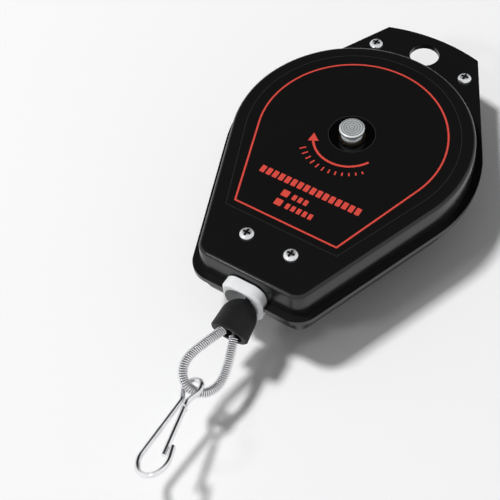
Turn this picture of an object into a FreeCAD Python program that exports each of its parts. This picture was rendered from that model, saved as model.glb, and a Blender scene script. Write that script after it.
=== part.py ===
import FreeCAD, Part
import math
import os
import re

import Sketcher
from FreeCAD import Placement, Rotation, Vector

# Spring balancer: a retractable rope hoist that carries a hand tool's weight.
# Frame, in millimetres: +Z up as it hangs, front face towards -Y, origin at the centre of the
# hang hole on the plane where the two covers meet (Y = 0).

SIZES = {
    # outline of the case: one big arc about the shaft and two small foot arcs, joined by tangents
    "shaft_drop": 65,
    "face_radius": 50.3,
    "foot_spread": 18.55,
    "foot_drop": 73.3,
    "foot_radius": 6.5,
    "wall_draft": 3.2,
    "flange_width": 3.0,
    "front_lean_out": 0.7,
    "front_depth": 13,
    "rear_depth": 12.5,
    "sheet_metal": 1.2,
    "front_edge_round": 1.6,
    "rear_edge_round": 2.4,
    # hanging lug
    "lug_half_width": 22.2,
    "lug_top_margin": 11.3,
    "hang_hole_radius": 6.5,
    # fasteners
    "lug_screw_x": 21.9,
    "lug_screw_drop": 4.6,
    "foot_screw_x": 10,
    "foot_screw_down": 64,
    "screw_radius": 1.5,
    "screw_head_radius": 2.9,
    "screw_head_height": 1.7,
    "screw_slot_width": 0.9,
    "screw_slot_depth": 0.9,
    "screw_tail": 0.8,
    "nut_flats": 5.5,
    "nut_height": 2.4,
    "spacer_radius": 2.1,
    "hole_clearance": 0.1,
    # front label sheet and the dished ring round the shaft
    "label_radius": 44.6,
    "label_foot_spread": 24.7,
    "label_foot_drop": 54.9,
    "label_foot_radius": 1,
    "label_thickness": 0.2,
    "dish_radius": 9.6,
    "dish_depth": 0.5,
    # shaft, bushes, arbor
    "shaft_radius": 4.5,
    "shaft_head_radius": 5.2,
    "shaft_head_thickness": 1.6,
    "shaft_head_stand": 4.4,
    "shaft_neck_radius": 3.6,
    "shaft_rear_stand": 3.4,
    "shaft_socket_flats": 5,
    "shaft_socket_depth": 4,
    "shaft_flat_half": 3.7,
    "running_fit": 0.06,
    "bush_wall": 1.1,
    "bush_flange_width": 2.2,
    "bush_flange_thickness": 1,
    "arbor_radius": 7,
    "arbor_slot_width": 0.9,
    "arbor_slot_depth": 1.4,
    "pin_radius": 1,
    "clip_radius": 6.4,
    "clip_thickness": 0.8,
    "clip_gap": 0.6,
    "clip_groove_depth": 0.9,
    # rope drum
    "drum_front_gap": 0.4,
    "rope_diameter": 2.5,
    "rope_pitch": 2.55,
    "rope_turns": 6,
    "rope_wind_radius": 35,
    "drum_flange_radius": 39.5,
    "drum_flange_thickness": 1.1,
    "drum_rim_wall": 2.2,
    "drum_web": 1.6,
    "drum_hub_radius": 10,
    "drum_hub_length": 3,
    "drum_bush_wall": 1.8,
    "drum_cover_thickness": 1.2,
    "drum_cover_seat": 0.8,
    "drum_cover_gap": 0.05,
    # spiral spring
    "spring_strip": 0.5,
    "spring_turns": 8,
    "spring_side_gap": 0.5,
    "spring_rim_gap": 0.3,
    # ratchet
    "ratchet_teeth": 12,
    "ratchet_tip_radius": 12,
    "ratchet_root_radius": 9.8,
    "ratchet_thickness": 2.4,
    "ratchet_gap": 0.5,
    "pawl_angle": 60,
    "pawl_reach": 15,
    "pawl_boss_radius": 3.6,
    "pawl_depth": 3.2,
    "pawl_tip_gap": 0.25,
    "pawl_side_gap": 0.15,
    "rivet_radius": 2,
    "rivet_head_radius": 3.4,
    "rivet_head_height": 1.2,
    "peg_radius": 1.2,
    "peg_offset": 10,
    "leaf_thickness": 0.4,
    # rope guide
    "guide_width": 18,
    "guide_depth": 18.4,
    "guide_corner": 5.6,
    "guide_chamfer": 1.1,
    "guide_neck_radius": 7.4,
    "guide_stand": 4.6,
    "guide_throat_radius": 3.6,
    "guide_mouth_radius": 7.5,
    "guide_funnel_radius": 12,
    "guide_head_height": 2.2,
    "guide_head_gap": 1.2,
    "guide_head_width": 1.6,
    "guide_throat_flare": 1.4,
    # rope end: stopper, ferrule, eye and the coil that guards the eye
    "rope_lean": 3.5,
    "rope_tilt": 10,
    "rope_exit_x": 1.8,
    "stopper_radius": 7.9,
    "stopper_neck_radius": 7.3,
    "stopper_nose_radius": 2,
    "stopper_below": 13.2,
    "stopper_straight": 8.3,
    "stopper_above": 1.6,
    "stopper_dome_radius": 8.5,
    "stopper_wall": 2.3,
    "ferrule_length": 4.8,
    "ferrule_wall": 1.1,
    "ferrule_top": 3.5,
    "strand_gap": 0.05,
    "eye_yaw": 40,
    "guard_gap": 0.1,
    "guard_wire": 0.6,
    # snap hook
    "hook_wire_radius": 1.1,
    "hook_lean": 4.9,
    "hook_yaw": -25,
    "hook_eye_radius": 3.9,
    "hook_eye_gap": 0.3,
    "hook_bend_radius": 6.8,
    "hook_bend_x": 2.2,
    "hook_bend_down": 30.4,
    "hook_tip_turn": 18,
    "hook_tip_rise": 4.7,
    "hook_neck_x": 1.25,
    "hook_neck_down": 5,
    "hook_neck_round": 3,
    "gate_root_x": 2,
    "gate_root_down": 8.6,
    "gate_root_gap": 0.35,
    "gate_tip_gap": 0.4,
    "gate_overlap": 4,
}

# The eye's rope, from one strand in the ferrule round to the other: sideways and down, in
# millimetres from the mouth of the guide along the rope.
EYE_ROUTE = [
    (-1.3, -6.5),
    (-1.3, -9.9),
    (-8.9, -25.5),
    (-10.2, -32.6),
    (-6.5, -38.8),
    (1.9, -38.8),
    (6.6, -33.0),
    (6.6, -25.4),
    (1.3, -9.9),
    (1.3, -6.5),
]
# Where the hook's ring sits on that line, and how far down the guard coil starts.
EYE_BOTTOM = (-2.2, -38.8)
GUARD_START = -12.6

DOC = FreeCAD.newDocument("spring_balancer")
SHEET = DOC.addObject("Spreadsheet::Sheet", "Sizes")
for row, (alias, number) in enumerate(SIZES.items(), start=1):
    SHEET.set(f"A{row}", alias)
    SHEET.set(f"B{row}", str(number))
    SHEET.setAlias(f"B{row}", alias)
DOC.recompute()

NODES = []


# ---------------------------------------------------------------- sizes and expressions


def bound(expression):
    """The expression with each size's name turned into a reference to its cell."""
    return re.sub(r"[a-z_]{3,}", lambda m: "Sizes." + m[0] if m[0] in SIZES else m[0], expression)


def value(expression):
    """The number that an expression of the sizes comes to now."""
    result = SHEET.evalExpression(bound(expression))
    return float(getattr(result, "Value", result))


def set_size(feature, prop, expression):
    """Tie a feature's property to an expression of the sizes."""
    feature.setExpression(prop, bound(expression))


# ---------------------------------------------------------------- sketches


def new_body(label):
    body = DOC.addObject("PartDesign::Body", label)
    body.Label = label
    return body


def new_node(label):
    body = new_body(label)
    NODES.append(body)
    return body


def sketch_on(body, role, name, offset="0"):
    """A sketch on one of the body's own origin planes, moved along its normal by an offset."""
    sketch = body.newObject("Sketcher::SketchObject", name)
    plane = next(f for f in body.Origin.OriginFeatures if f.Role == role)
    sketch.AttachmentSupport = [(plane, "")]
    sketch.MapMode = "FlatFace"
    if offset != "0":
        set_size(sketch, "AttachmentOffset.Base.z", offset)
    return sketch


def fix(sketch, kind, first, expression):
    """Add a dimension from the origin (or of one edge) that follows an expression."""
    number = value(expression)
    if kind in ("Radius", "Distance"):
        index = sketch.addConstraint(Sketcher.Constraint(kind, *first, number))
        sketch.setExpression(f"Constraints[{index}]", bound(expression))
    elif abs(number) < 1e-9:
        axis = -2 if kind == "DistanceX" else -1
        sketch.addConstraint(Sketcher.Constraint("PointOnObject", *first, axis))
    elif number > 0:
        index = sketch.addConstraint(Sketcher.Constraint(kind, -1, 1, *first, number))
        sketch.setExpression(f"Constraints[{index}]", bound(expression))
    else:
        index = sketch.addConstraint(Sketcher.Constraint(kind, *first, -1, 1, -number))
        sketch.setExpression(f"Constraints[{index}]", bound(f"-({expression})"))


def fix_point(sketch, point, x, y):
    fix(sketch, "DistanceX", point, x)
    fix(sketch, "DistanceY", point, y)


def arc_between(start, end, radius, turn):
    """The short arc from start to end; turn +1 bends it anticlockwise, -1 clockwise."""
    chord = end - start
    half = chord.Length / 2
    rise = math.sqrt(max(radius * radius - half * half, 0.0))
    side = Vector(-chord.y, chord.x, 0).normalize() * turn
    centre = (start + end) / 2 + side * rise
    circle = Part.Circle(centre, Vector(0, 0, 1), radius)
    first, last = (start, end) if turn > 0 else (end, start)
    angle = [math.atan2(p.y - centre.y, p.x - centre.x) for p in (first, last)]
    if angle[1] < angle[0]:
        angle[1] += 2 * math.pi
    return Part.ArcOfCircle(circle, *angle)


def outline(sketch, corners):
    """Close a loop through corners (x, y) or (x, y, radius, turn), whose edge there is an arc.

    Every corner's place and every arc's radius follow expressions of the sizes.
    """
    points = [Vector(value(c[0]), value(c[1]), 0) for c in corners]
    ends = []
    for i, corner in enumerate(corners):
        start, end = points[i - 1], points[i]
        if len(corner) == 2:
            edge = sketch.addGeometry(Part.LineSegment(start, end))
            ends.append((edge, 1, 2))
        else:
            edge = sketch.addGeometry(arc_between(start, end, value(corner[2]), corner[3]))
            ends.append((edge, 1, 2) if corner[3] > 0 else (edge, 2, 1))
    for i, corner in enumerate(corners):
        edge, _, end = ends[i]
        following, start, _ = ends[(i + 1) % len(corners)]
        sketch.addConstraint(Sketcher.Constraint("Coincident", edge, end, following, start))
        fix_point(sketch, (edge, end), corner[0], corner[1])
        if len(corner) > 2:
            fix(sketch, "Radius", (edge,), corner[2])


def circle(sketch, x, y, radius):
    centre = Vector(value(x), value(y), 0)
    edge = sketch.addGeometry(Part.Circle(centre, Vector(0, 0, 1), value(radius)))
    fix_point(sketch, (edge, 3), x, y)
    fix(sketch, "Radius", (edge,), radius)


def rectangle(sketch, x, y, half_width, half_height):
    left, right = f"({x}) - ({half_width})", f"({x}) + ({half_width})"
    low, high = f"({y}) - ({half_height})", f"({y}) + ({half_height})"
    outline(sketch, [(right, low), (right, high), (left, high), (left, low)])


def hexagon(sketch, x, y, flats):
    """A regular hexagon by its width across flats, two of its corners level."""
    reach, half = f"({flats}) / sqrt(3)", f"({flats}) / sqrt(3) / 2"
    side = f"({flats}) / 2"
    steps = [(reach, "0"), (half, side), (f"-{half}", side)]
    steps += [(f"-{reach}", "0"), (f"-{half}", f"-{side}"), (half, f"-{side}")]
    outline(sketch, [(f"({x}) + ({a})", f"({y}) + ({b})") for a, b in steps])


def tangent_arc(sketch, centre, radius, first, last):
    place = Part.Circle(centre, Vector(0, 0, 1), radius)
    return sketch.addGeometry(Part.ArcOfCircle(place, math.radians(first), math.radians(last)))


def line(sketch, start, end):
    return sketch.addGeometry(Part.LineSegment(start, end))


def on_circle(centre, radius, angle):
    turn = math.radians(angle)
    return centre + Vector(math.cos(turn), math.sin(turn), 0) * radius


def case_outline(sketch, radius, spread, drop, foot, lug=False):
    """The balancer's drop shape: a big arc about the shaft, tangents, two foot arcs and a base.

    With lug, the top is the hanging lug instead of the arc: two lines tangent to the big arc
    that meet a wider arc about the same centre.
    """
    shaft = Vector(0, -value("shaft_drop"), 0)
    big, small = value(radius), value(foot)
    feet = [Vector(side * value(spread), shaft.y - value(drop), 0) for side in (-1, 1)]
    reach = feet[1] - shaft
    tilt = math.degrees(math.atan2(reach.y, reach.x) + math.acos((big - small) / reach.Length))
    pairs = []
    left_foot = tangent_arc(sketch, feet[0], small, 180 - tilt, 270)
    right_foot = tangent_arc(sketch, feet[1], small, 270, 360 + tilt)
    base = line(sketch, feet[0] - Vector(0, small, 0), feet[1] - Vector(0, small, 0))
    right = line(sketch, on_circle(feet[1], small, tilt), on_circle(shaft, big, tilt))
    left = line(sketch, on_circle(shaft, big, 180 - tilt), on_circle(feet[0], small, 180 - tilt))
    pairs += [(left, 2, left_foot, 1), (left_foot, 2, base, 1)]
    pairs += [(base, 2, right_foot, 1), (right_foot, 2, right, 1)]
    arcs = [(right_foot, feet[1], foot), (left_foot, feet[0], foot)]
    if lug:
        half, top = value("lug_half_width"), value("shaft_drop + lug_top_margin")
        corner = Vector(half, shaft.y + math.sqrt(top * top - half * half), 0)
        away = corner - shaft
        lean = math.degrees(math.atan2(away.y, away.x) - math.acos(big / away.Length))
        mirrored = Vector(-corner.x, corner.y, 0)
        right_arc = tangent_arc(sketch, shaft, big, tilt, lean)
        left_arc = tangent_arc(sketch, shaft, big, 180 - lean, 180 - tilt)
        right_lug = line(sketch, on_circle(shaft, big, lean), corner)
        left_lug = line(sketch, mirrored, on_circle(shaft, big, 180 - lean))
        rise = math.degrees(math.atan2(away.y, away.x))
        crown = tangent_arc(sketch, shaft, top, rise, 180 - rise)
        pairs += [(right, 2, right_arc, 1), (right_arc, 2, right_lug, 1)]
        pairs += [(left_lug, 2, left_arc, 1), (left_arc, 2, left, 1)]
        for edge, end, other, start in ((right_lug, 2, crown, 1), (crown, 2, left_lug, 1)):
            sketch.addConstraint(Sketcher.Constraint("Coincident", edge, end, other, start))
        fix(sketch, "DistanceX", (crown, 1), "lug_half_width")
        fix(sketch, "DistanceX", (crown, 2), "-lug_half_width")
        fix_point(sketch, (crown, 3), "0", "-shaft_drop")
        fix(sketch, "Radius", (crown,), "shaft_drop + lug_top_margin")
        arcs += [(right_arc, shaft, radius), (left_arc, shaft, radius)]
    else:
        arc = tangent_arc(sketch, shaft, big, tilt, 180 - tilt)
        pairs += [(right, 2, arc, 1), (arc, 2, left, 1)]
        arcs.append((arc, shaft, radius))
    for edge, end, other, start in pairs:
        sketch.addConstraint(Sketcher.Constraint("Tangent", edge, end, other, start))
    for edge, centre, size in arcs:
        x = "0" if centre.x == 0 else (spread if centre.x > 0 else f"-({spread})")
        y = "-shaft_drop" if centre.x == 0 else f"-shaft_drop - ({drop})"
        fix_point(sketch, (edge, 3), x, y)
        fix(sketch, "Radius", (edge,), size)


# ---------------------------------------------------------------- features


def pad(body, sketch, length, reverse=False, taper=None):
    feature = body.newObject("PartDesign::Pad", "Pad")
    feature.Profile = sketch
    set_size(feature, "Length", length)
    feature.Reversed = reverse
    if taper:
        set_size(feature, "TaperAngle", taper)
    DOC.recompute()
    return feature


def pocket(body, sketch, depth, reverse=False, taper=None):
    """Cut the sketch out of the body, and make sure that the cut took something away."""
    before = body.Tip.Shape.Volume
    feature = body.newObject("PartDesign::Pocket", "Pocket")
    feature.Profile = sketch
    set_size(feature, "Length", depth)
    feature.Reversed = reverse
    if taper:
        set_size(feature, "TaperAngle", taper)
    DOC.recompute()
    if not feature.Shape.Volume < before - 1e-6:
        raise ValueError(f"{body.Label}: {sketch.Name} cuts nothing")
    return feature


def revolve(body, corners, plane="XY_Plane", cut=False, angle=360):
    """Turn an outline of (radius, height) corners about the sketch's upright axis."""
    sketch = sketch_on(body, plane, "Section")
    outline(sketch, corners)
    kind = "Groove" if cut else "Revolution"
    before = body.Tip.Shape.Volume if cut else 0
    feature = body.newObject(f"PartDesign::{kind}", kind)
    feature.Profile = sketch
    feature.ReferenceAxis = (sketch, ["V_Axis"])
    feature.Angle = angle
    DOC.recompute()
    if cut and not feature.Shape.Volume < before - 1e-6:
        raise ValueError(f"{body.Label}: the groove cuts nothing")
    return feature


def edges_where(shape, test):
    """Names of the edges whose every sampled point passes the test."""
    names = []
    for number, edge in enumerate(shape.Edges, start=1):
        if all(test(point) for point in edge.discretize(5)):
            names.append(f"Edge{number}")
    return names


def round_edges(body, size, test, kind="Fillet"):
    """Fillet (or chamfer) the edges of the body's tip that pass the test."""
    base = body.Tip
    feature = body.newObject(f"PartDesign::{kind}", kind)
    feature.Base = (base, edges_where(base.Shape, test))
    set_size(feature, "Radius" if kind == "Fillet" else "Size", size)
    DOC.recompute()
    return feature


def near(number, target):
    return abs(number - target) < 1e-4


def place(node, x="0", y="0", z="0", rotation=None):
    """Set where a node stands; its place follows expressions of the sizes."""
    turn = rotation or Rotation()
    node.Placement = Placement(Vector(value(x), value(y), value(z)), turn)
    for axis, expression in zip("xyz", (x, y, z)):
        if expression != "0":
            set_size(node, f"Placement.Base.{axis}", expression)


def pair(label, body):
    """One node of two solids: the body and its mirror image across the middle plane X = 0."""
    mirrored = DOC.addObject("Part::Mirroring", label + "_mirror")
    mirrored.Source = body
    mirrored.Normal = Vector(1, 0, 0)
    both = DOC.addObject("Part::Compound", label + "_pair")
    both.Links = [body, mirrored]
    both.Label = label
    NODES.append(both)
    return both


def shape_node(label, shape, placement=None):
    """A node whose shape comes from Part's own functions."""
    feature = DOC.addObject("Part::Feature", label)
    feature.Label = label
    feature.Shape = shape
    if placement:
        feature.Placement = placement
    NODES.append(feature)
    return feature


def smooth_path(points, radii=None):
    """A wire of straight runs joined by tangent arcs, and the radii of those arcs.

    Without radii, each arc is as large as its two runs allow.
    """
    edges, used = [], []
    last = points[0]
    for i in range(1, len(points) - 1):
        into, out = points[i] - points[i - 1], points[i + 1] - points[i]
        turn = into.getAngle(out)
        shorter = min(into.Length, out.Length)
        radius = 0.45 * shorter / math.tan(turn / 2)
        if radii and radii[i - 1]:
            radius = radii[i - 1]
        used.append(radius)
        reach = radius * math.tan(turn / 2)
        start = points[i] - Vector(into).normalize() * reach
        end = points[i] + Vector(out).normalize() * reach
        inward = (Vector(out).normalize() - Vector(into).normalize()).normalize()
        middle = points[i] + inward * (radius / math.cos(turn / 2) - radius)
        if (start - last).Length > 1e-6:
            edges.append(Part.LineSegment(last, start).toShape())
        edges.append(Part.Arc(start, middle, end).toShape())
        last = end
    edges.append(Part.LineSegment(last, points[-1]).toShape())
    return Part.Wire(edges), used


def tube(path, radius):
    """A round bar along a path of lines and tangent arcs."""
    first = path.OrderedEdges[0]
    start = first.valueAt(first.FirstParameter)
    section = Part.Circle(start, first.tangentAt(first.FirstParameter), radius).toShape()
    solid = path.makePipeShell([Part.Wire(section)], True, False)
    full = math.pi * radius * radius * path.Length
    if abs(solid.Volume - full) > 0.01 * full:
        raise ValueError("a tube's volume differs from its section times its length")
    return solid


# ---------------------------------------------------------------- case


def case_half(label, front):
    """One pressed cover: drafted pan, edge round, flange with lug, and its holes."""
    body = new_node(label)
    depth = "front_depth" if front else "rear_depth"
    lean_out = "front_lean_out" if front else "front_lean_out / 2"
    edge_round = "front_edge_round" if front else "rear_edge_round"
    side = -1 if front else 1

    pan = sketch_on(body, "XZ_Plane", "Pan")
    case_outline(pan, f"face_radius + {lean_out}", "foot_spread", "foot_drop", f"foot_radius + {lean_out}")
    pad(body, pan, depth, reverse=not front, taper="-wall_draft")
    flat = value(depth)
    round_edges(body, edge_round, lambda p: near(side * p.y, flat))

    flange = sketch_on(body, "XZ_Plane", "Flange")
    rim, foot = (f"{size} + front_lean_out + flange_width" for size in ("face_radius", "foot_radius"))
    case_outline(flange, rim, "foot_spread", "foot_drop", foot, lug=True)
    pad(body, flange, "sheet_metal", reverse=not front)

    hollow = sketch_on(body, "XZ_Plane", "Hollow")
    inner = f"{lean_out} - sheet_metal"
    case_outline(hollow, f"face_radius + {inner}", "foot_spread", "foot_drop", f"foot_radius + {inner}")
    pocket(body, hollow, f"{depth} - sheet_metal", reverse=front, taper="-wall_draft")

    holes = sketch_on(body, "XZ_Plane", "Holes")
    circle(holes, "0", "0", "hang_hole_radius")
    circle(holes, "0", "-shaft_drop", "shaft_radius + running_fit + bush_wall + hole_clearance / 2")
    for turn in ("", "-"):
        circle(holes, f"{turn}lug_screw_x", "-lug_screw_drop", "screw_radius + hole_clearance")
        circle(holes, f"{turn}foot_screw_x", "-shaft_drop - foot_screw_down", "screw_radius + hole_clearance")
    pocket(body, holes, depth, reverse=front)

    notch = sketch_on(body, "XY_Plane", "Guide notch", GUIDE_SHELF)
    rectangle(notch, "0", "0", "guide_width / 2 + hole_clearance", "guide_depth / 4")
    pocket(body, notch, "guide_stand * 2")
    neck = sketch_on(body, "XY_Plane", "Guide hole", GUIDE_SHELF)
    circle(neck, "0", "0", "guide_neck_radius + hole_clearance")
    pocket(body, neck, "guide_stand", reverse=True)
    if not front:
        rivets = sketch_on(body, "XZ_Plane", "Rivet holes")
        turned(rivets, PAWL_LINE, PAWL_PIVOT, "rivet_radius + running_fit")
        turned(rivets, f"{PAWL_LINE} + peg_offset", PAWL_PIVOT, "peg_radius + running_fit")
        pocket(body, rivets, depth)
    if front:
        dish = sketch_on(body, "XZ_Plane", "Dish", "front_depth - dish_depth")
        circle(dish, "0", "-shaft_drop", "dish_radius")
        pocket(body, dish, "dish_depth", reverse=True)
    return body


def turned(sketch, radial, tangential, radius):
    """A circle at a point given in the pawl's own directions."""
    x = f"({radial}) * cos(pawl_angle) - ({tangential}) * sin(pawl_angle)"
    z = f"({radial}) * sin(pawl_angle) + ({tangential}) * cos(pawl_angle) - shaft_drop"
    circle(sketch, x, z, radius)


# Underside of the case wall beside the rope guide, where the guide's shoulder bears.
GUIDE_SHELF = "-shaft_drop - foot_drop - foot_radius - front_lean_out - 0.05"


def front_label():
    """Thin label sheet on the front face, open round the dish."""
    body = new_node("front_label")
    sheet = sketch_on(body, "XZ_Plane", "Sheet", "front_depth")
    case_outline(sheet, "label_radius", "label_foot_spread", "label_foot_drop", "label_foot_radius")
    circle(sheet, "0", "-shaft_drop", "dish_radius")
    pad(body, sheet, "label_thickness")


# ---------------------------------------------------------------- fasteners


def screw_pair(label, x, z, seat, length):
    """Two pan-head screws with a cross recess, driven in from the front."""
    body = new_body(label + "_one")
    head, top = "screw_head_radius", "-screw_head_height"
    revolve(
        body,
        [
            ("0", length),
            ("0", top),
            ("screw_head_radius * 0.45", top),
            (head, "-screw_head_height * 0.35", "screw_head_radius * 1.05", 1),
            (head, "0"),
            ("screw_radius", "0"),
            ("screw_radius", length),
        ],
    )
    for name, half_width, half_height in (
        ("Across", "screw_head_radius * 0.6", "screw_slot_width / 2"),
        ("Upright", "screw_slot_width / 2", "screw_head_radius * 0.6"),
    ):
        slot = sketch_on(body, "XZ_Plane", name, "screw_head_height - screw_slot_depth")
        rectangle(slot, "0", "0", half_width, half_height)
        pocket(body, slot, "screw_slot_depth", reverse=True)
    place(body, x, seat, z)
    pair(label, body)


def nut_pair(label, x, z, seat):
    body = new_body(label + "_one")
    flats = sketch_on(body, "XZ_Plane", "Flats")
    hexagon(flats, "0", "0", "nut_flats")
    circle(flats, "0", "0", "screw_radius + running_fit")
    pad(body, flats, "nut_height", reverse=True)
    place(body, x, seat, z)
    pair(label, body)


def spacer_pair():
    """Tubes round the foot screws that keep the two covers apart."""
    body = new_body("foot_spacer_one")
    inner, length = "screw_radius + hole_clearance", "front_depth + rear_depth - 2 * sheet_metal"
    revolve(
        body,
        [(inner, "0"), ("spacer_radius", "0"), ("spacer_radius", length), (inner, length)],
    )
    place(body, "foot_screw_x", "sheet_metal - front_depth", "-shaft_drop - foot_screw_down")
    pair("foot_spacers", body)


# ---------------------------------------------------------------- shaft and its bushes

DRUM_FRONT = "sheet_metal - front_depth + bush_flange_thickness + drum_front_gap"
ARBOR_START = f"{DRUM_FRONT} + drum_cover_thickness + 0.2"
DRUM_WIDTH = "rope_turns * rope_pitch + 2 * drum_flange_thickness"
DRUM_REAR = f"{DRUM_FRONT} + {DRUM_WIDTH}"
WHEEL_START = f"{DRUM_REAR} + ratchet_gap"
WHEEL_END = f"{WHEEL_START} + ratchet_thickness"
CLIP_START = "rear_depth + clip_gap"
PAWL_LINE = "((ratchet_tip_radius + ratchet_root_radius) / 2 - 0.4)"
PAWL_PIVOT = "(pawl_reach + pawl_tip_gap)"


def centre_shaft():
    """Stepped shaft: round head in front, flats for the ratchet, clip groove and hex socket."""
    body = new_node("centre_shaft")
    front = "-front_depth - shaft_head_stand"
    under = f"{front} + shaft_head_thickness"
    rear = "rear_depth + shaft_rear_stand"
    groove = "shaft_radius - clip_groove_depth"
    revolve(
        body,
        [
            ("0", rear),
            ("0", front),
            ("shaft_head_radius - 0.5", front),
            ("shaft_head_radius", f"{front} + 0.5"),
            ("shaft_head_radius", under),
            ("shaft_neck_radius", under),
            ("shaft_neck_radius", "-front_depth - 0.6"),
            ("shaft_radius", "-front_depth - 0.1"),
            ("shaft_radius", CLIP_START),
            (groove, CLIP_START),
            (groove, f"{CLIP_START} + clip_thickness + 0.1"),
            ("shaft_radius", f"{CLIP_START} + clip_thickness + 0.1"),
            ("shaft_radius", f"{rear} - 0.5"),
            ("shaft_radius - 0.5", rear),
        ],
    )
    flats = sketch_on(body, "XZ_Plane", "Wheel flats", f"-({WHEEL_START} - 0.05)")
    for turn in ("", "-"):
        rectangle(flats, "0", f"{turn}(shaft_flat_half + 2)", "shaft_radius * 1.2", "2")
    pocket(body, flats, "ratchet_thickness + 0.1")
    socket = sketch_on(body, "XZ_Plane", "Socket", f"-({rear})")
    hexagon(socket, "0", "0", "shaft_socket_flats")
    pocket(body, socket, "shaft_socket_depth", reverse=True)
    across = sketch_on(body, "XY_Plane", "Pin hole", "-shaft_radius * 1.5")
    circle(across, "0", PIN_PLACE, "pin_radius")
    pocket(body, across, "shaft_radius * 3", reverse=True)
    place(body, z="-shaft_drop", rotation=ratchet_turn())


PIN_PLACE = f"({ARBOR_START} + spring_side_gap + 2.2)"


def spring_arbor():
    """Sleeve on the shaft that the spring's inner end hooks into."""
    body = new_node("spring_arbor")
    end = f"{DRUM_REAR} - drum_hub_length - 0.4"
    bore = "shaft_radius + running_fit / 2"
    revolve(body, [(bore, ARBOR_START), ("arbor_radius", ARBOR_START), ("arbor_radius", end), (bore, end)])
    slot = sketch_on(body, "XZ_Plane", "Slot", f"-({end})")
    middle, half = "arbor_radius - arbor_slot_depth / 2 + 0.5", "arbor_slot_depth / 2 + 0.5"
    rectangle(slot, middle, "0", half, "arbor_slot_width / 2")
    pocket(body, slot, f"({end}) - ({ARBOR_START})", reverse=True)
    across = sketch_on(body, "XY_Plane", "Pin hole", "-arbor_radius * 1.5")
    circle(across, "0", PIN_PLACE, "pin_radius")
    pocket(body, across, "arbor_radius * 3", reverse=True)
    place(body, z="-shaft_drop", rotation=ratchet_turn())


def arbor_pin():
    """Cross pin that ties the arbor to the shaft."""
    body = new_node("arbor_pin")
    section = sketch_on(body, "XY_Plane", "Pin", "-arbor_radius + arbor_slot_depth + 0.1")
    circle(section, "0", PIN_PLACE, "pin_radius - running_fit / 2")
    pad(body, section, "2 * (arbor_radius - arbor_slot_depth - 0.1)")
    place(body, z="-shaft_drop", rotation=ratchet_turn())


def case_bush(label, front):
    """Flanged bush that carries the shaft in one cover; its flange lies inside the case."""
    body = new_node(label)
    bore = "shaft_radius + running_fit"
    barrel, flange = f"{bore} + bush_wall", f"{bore} + bush_flange_width"
    sheet = "front_depth - dish_depth" if front else "rear_depth"
    inside = "front_depth - sheet_metal" if front else "rear_depth - sheet_metal"
    deep = f"{inside} - bush_flange_thickness"
    sign = "-" if front else ""
    revolve(
        body,
        [
            (bore, f"{sign}({sheet})"),
            (barrel, f"{sign}({sheet})"),
            (barrel, f"{sign}({inside})"),
            (flange, f"{sign}({inside})"),
            (flange, f"{sign}({deep})"),
            (bore, f"{sign}({deep})"),
        ],
    )
    place(body, z="-shaft_drop")


def shaft_clip():
    """Open retaining ring in the shaft's rear groove."""
    body = new_node("shaft_clip")
    ring = sketch_on(body, "XZ_Plane", "Ring", f"-({CLIP_START} + 0.05)")
    circle(ring, "0", "0", "clip_radius")
    circle(ring, "0", "0", "shaft_radius - clip_groove_depth + running_fit")
    pad(body, ring, "clip_thickness", reverse=True)
    mouth = sketch_on(body, "XZ_Plane", "Mouth", f"-({CLIP_START} + 0.05)")
    rectangle(mouth, "0", "-clip_radius", "shaft_radius * 0.6", "clip_radius")
    pocket(body, mouth, "clip_thickness", reverse=False)
    place(body, z="-shaft_drop")


# ---------------------------------------------------------------- drum


def rope_drum():
    """Cup that holds the spring, with one round groove for each turn of rope on its rim."""
    body = new_node("rope_drum")
    root = "rope_wind_radius - rope_diameter / 2 - 0.05"
    land = "rope_wind_radius - rope_diameter / 6"
    inner = f"{root} - drum_rim_wall"
    hub_bore = "shaft_radius + running_fit + drum_bush_wall"
    start = f"{DRUM_FRONT} + drum_flange_thickness"
    hub_front = f"{DRUM_REAR} - drum_hub_length"
    web_front = f"{DRUM_REAR} - drum_web"
    step = f"{DRUM_FRONT} + drum_cover_thickness + drum_cover_gap"
    corners = [
        (hub_bore, DRUM_REAR),
        (hub_bore, hub_front),
        ("drum_hub_radius", hub_front),
        ("drum_hub_radius", web_front),
        (inner, web_front),
        (inner, step),
        (f"{inner} + drum_cover_seat", step),
        (f"{inner} + drum_cover_seat", DRUM_FRONT),
        ("drum_flange_radius", DRUM_FRONT),
        ("drum_flange_radius", start),
        (land, start),
    ]
    groove = "rope_diameter / 2 + 0.05"
    groove_half = f"sqrt(pow({groove}; 2) - pow(rope_diameter / 6; 2))"
    for turn in range(SIZES["rope_turns"]):
        middle = f"{start} + rope_pitch * ({turn} + 0.5)"
        corners.append((land, f"{middle} - {groove_half}"))
        corners.append((land, f"{middle} + {groove_half}", groove, -1))
    end = f"{DRUM_REAR} - drum_flange_thickness"
    corners += [(land, end), ("drum_flange_radius", end), ("drum_flange_radius", DRUM_REAR)]
    revolve(body, corners)
    place(body, z="-shaft_drop")


def drum_cover():
    """Lid pressed into the drum's front edge over the spring."""
    body = new_node("drum_cover")
    bore = "shaft_radius + running_fit"
    rim = f"rope_wind_radius - rope_diameter / 2 - 0.05 - drum_rim_wall + drum_cover_seat - drum_cover_gap"
    front, rear = DRUM_FRONT, f"{DRUM_FRONT} + drum_cover_thickness"
    revolve(body, [(bore, front), (rim, front), (rim, rear), (bore, rear)])
    windows = sketch_on(body, "XZ_Plane", "Window", f"-({rear})")
    circle(windows, f"({rim}) * 0.62", "0", "shaft_radius")
    cut = pocket(body, windows, "drum_cover_thickness", reverse=True)
    pattern = body.newObject("PartDesign::PolarPattern", "Windows")
    pattern.Originals = [cut]
    pattern.Axis = (windows, ["N_Axis"])
    pattern.Occurrences = 4
    body.Tip = pattern
    DOC.recompute()
    place(body, z="-shaft_drop")


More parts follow.
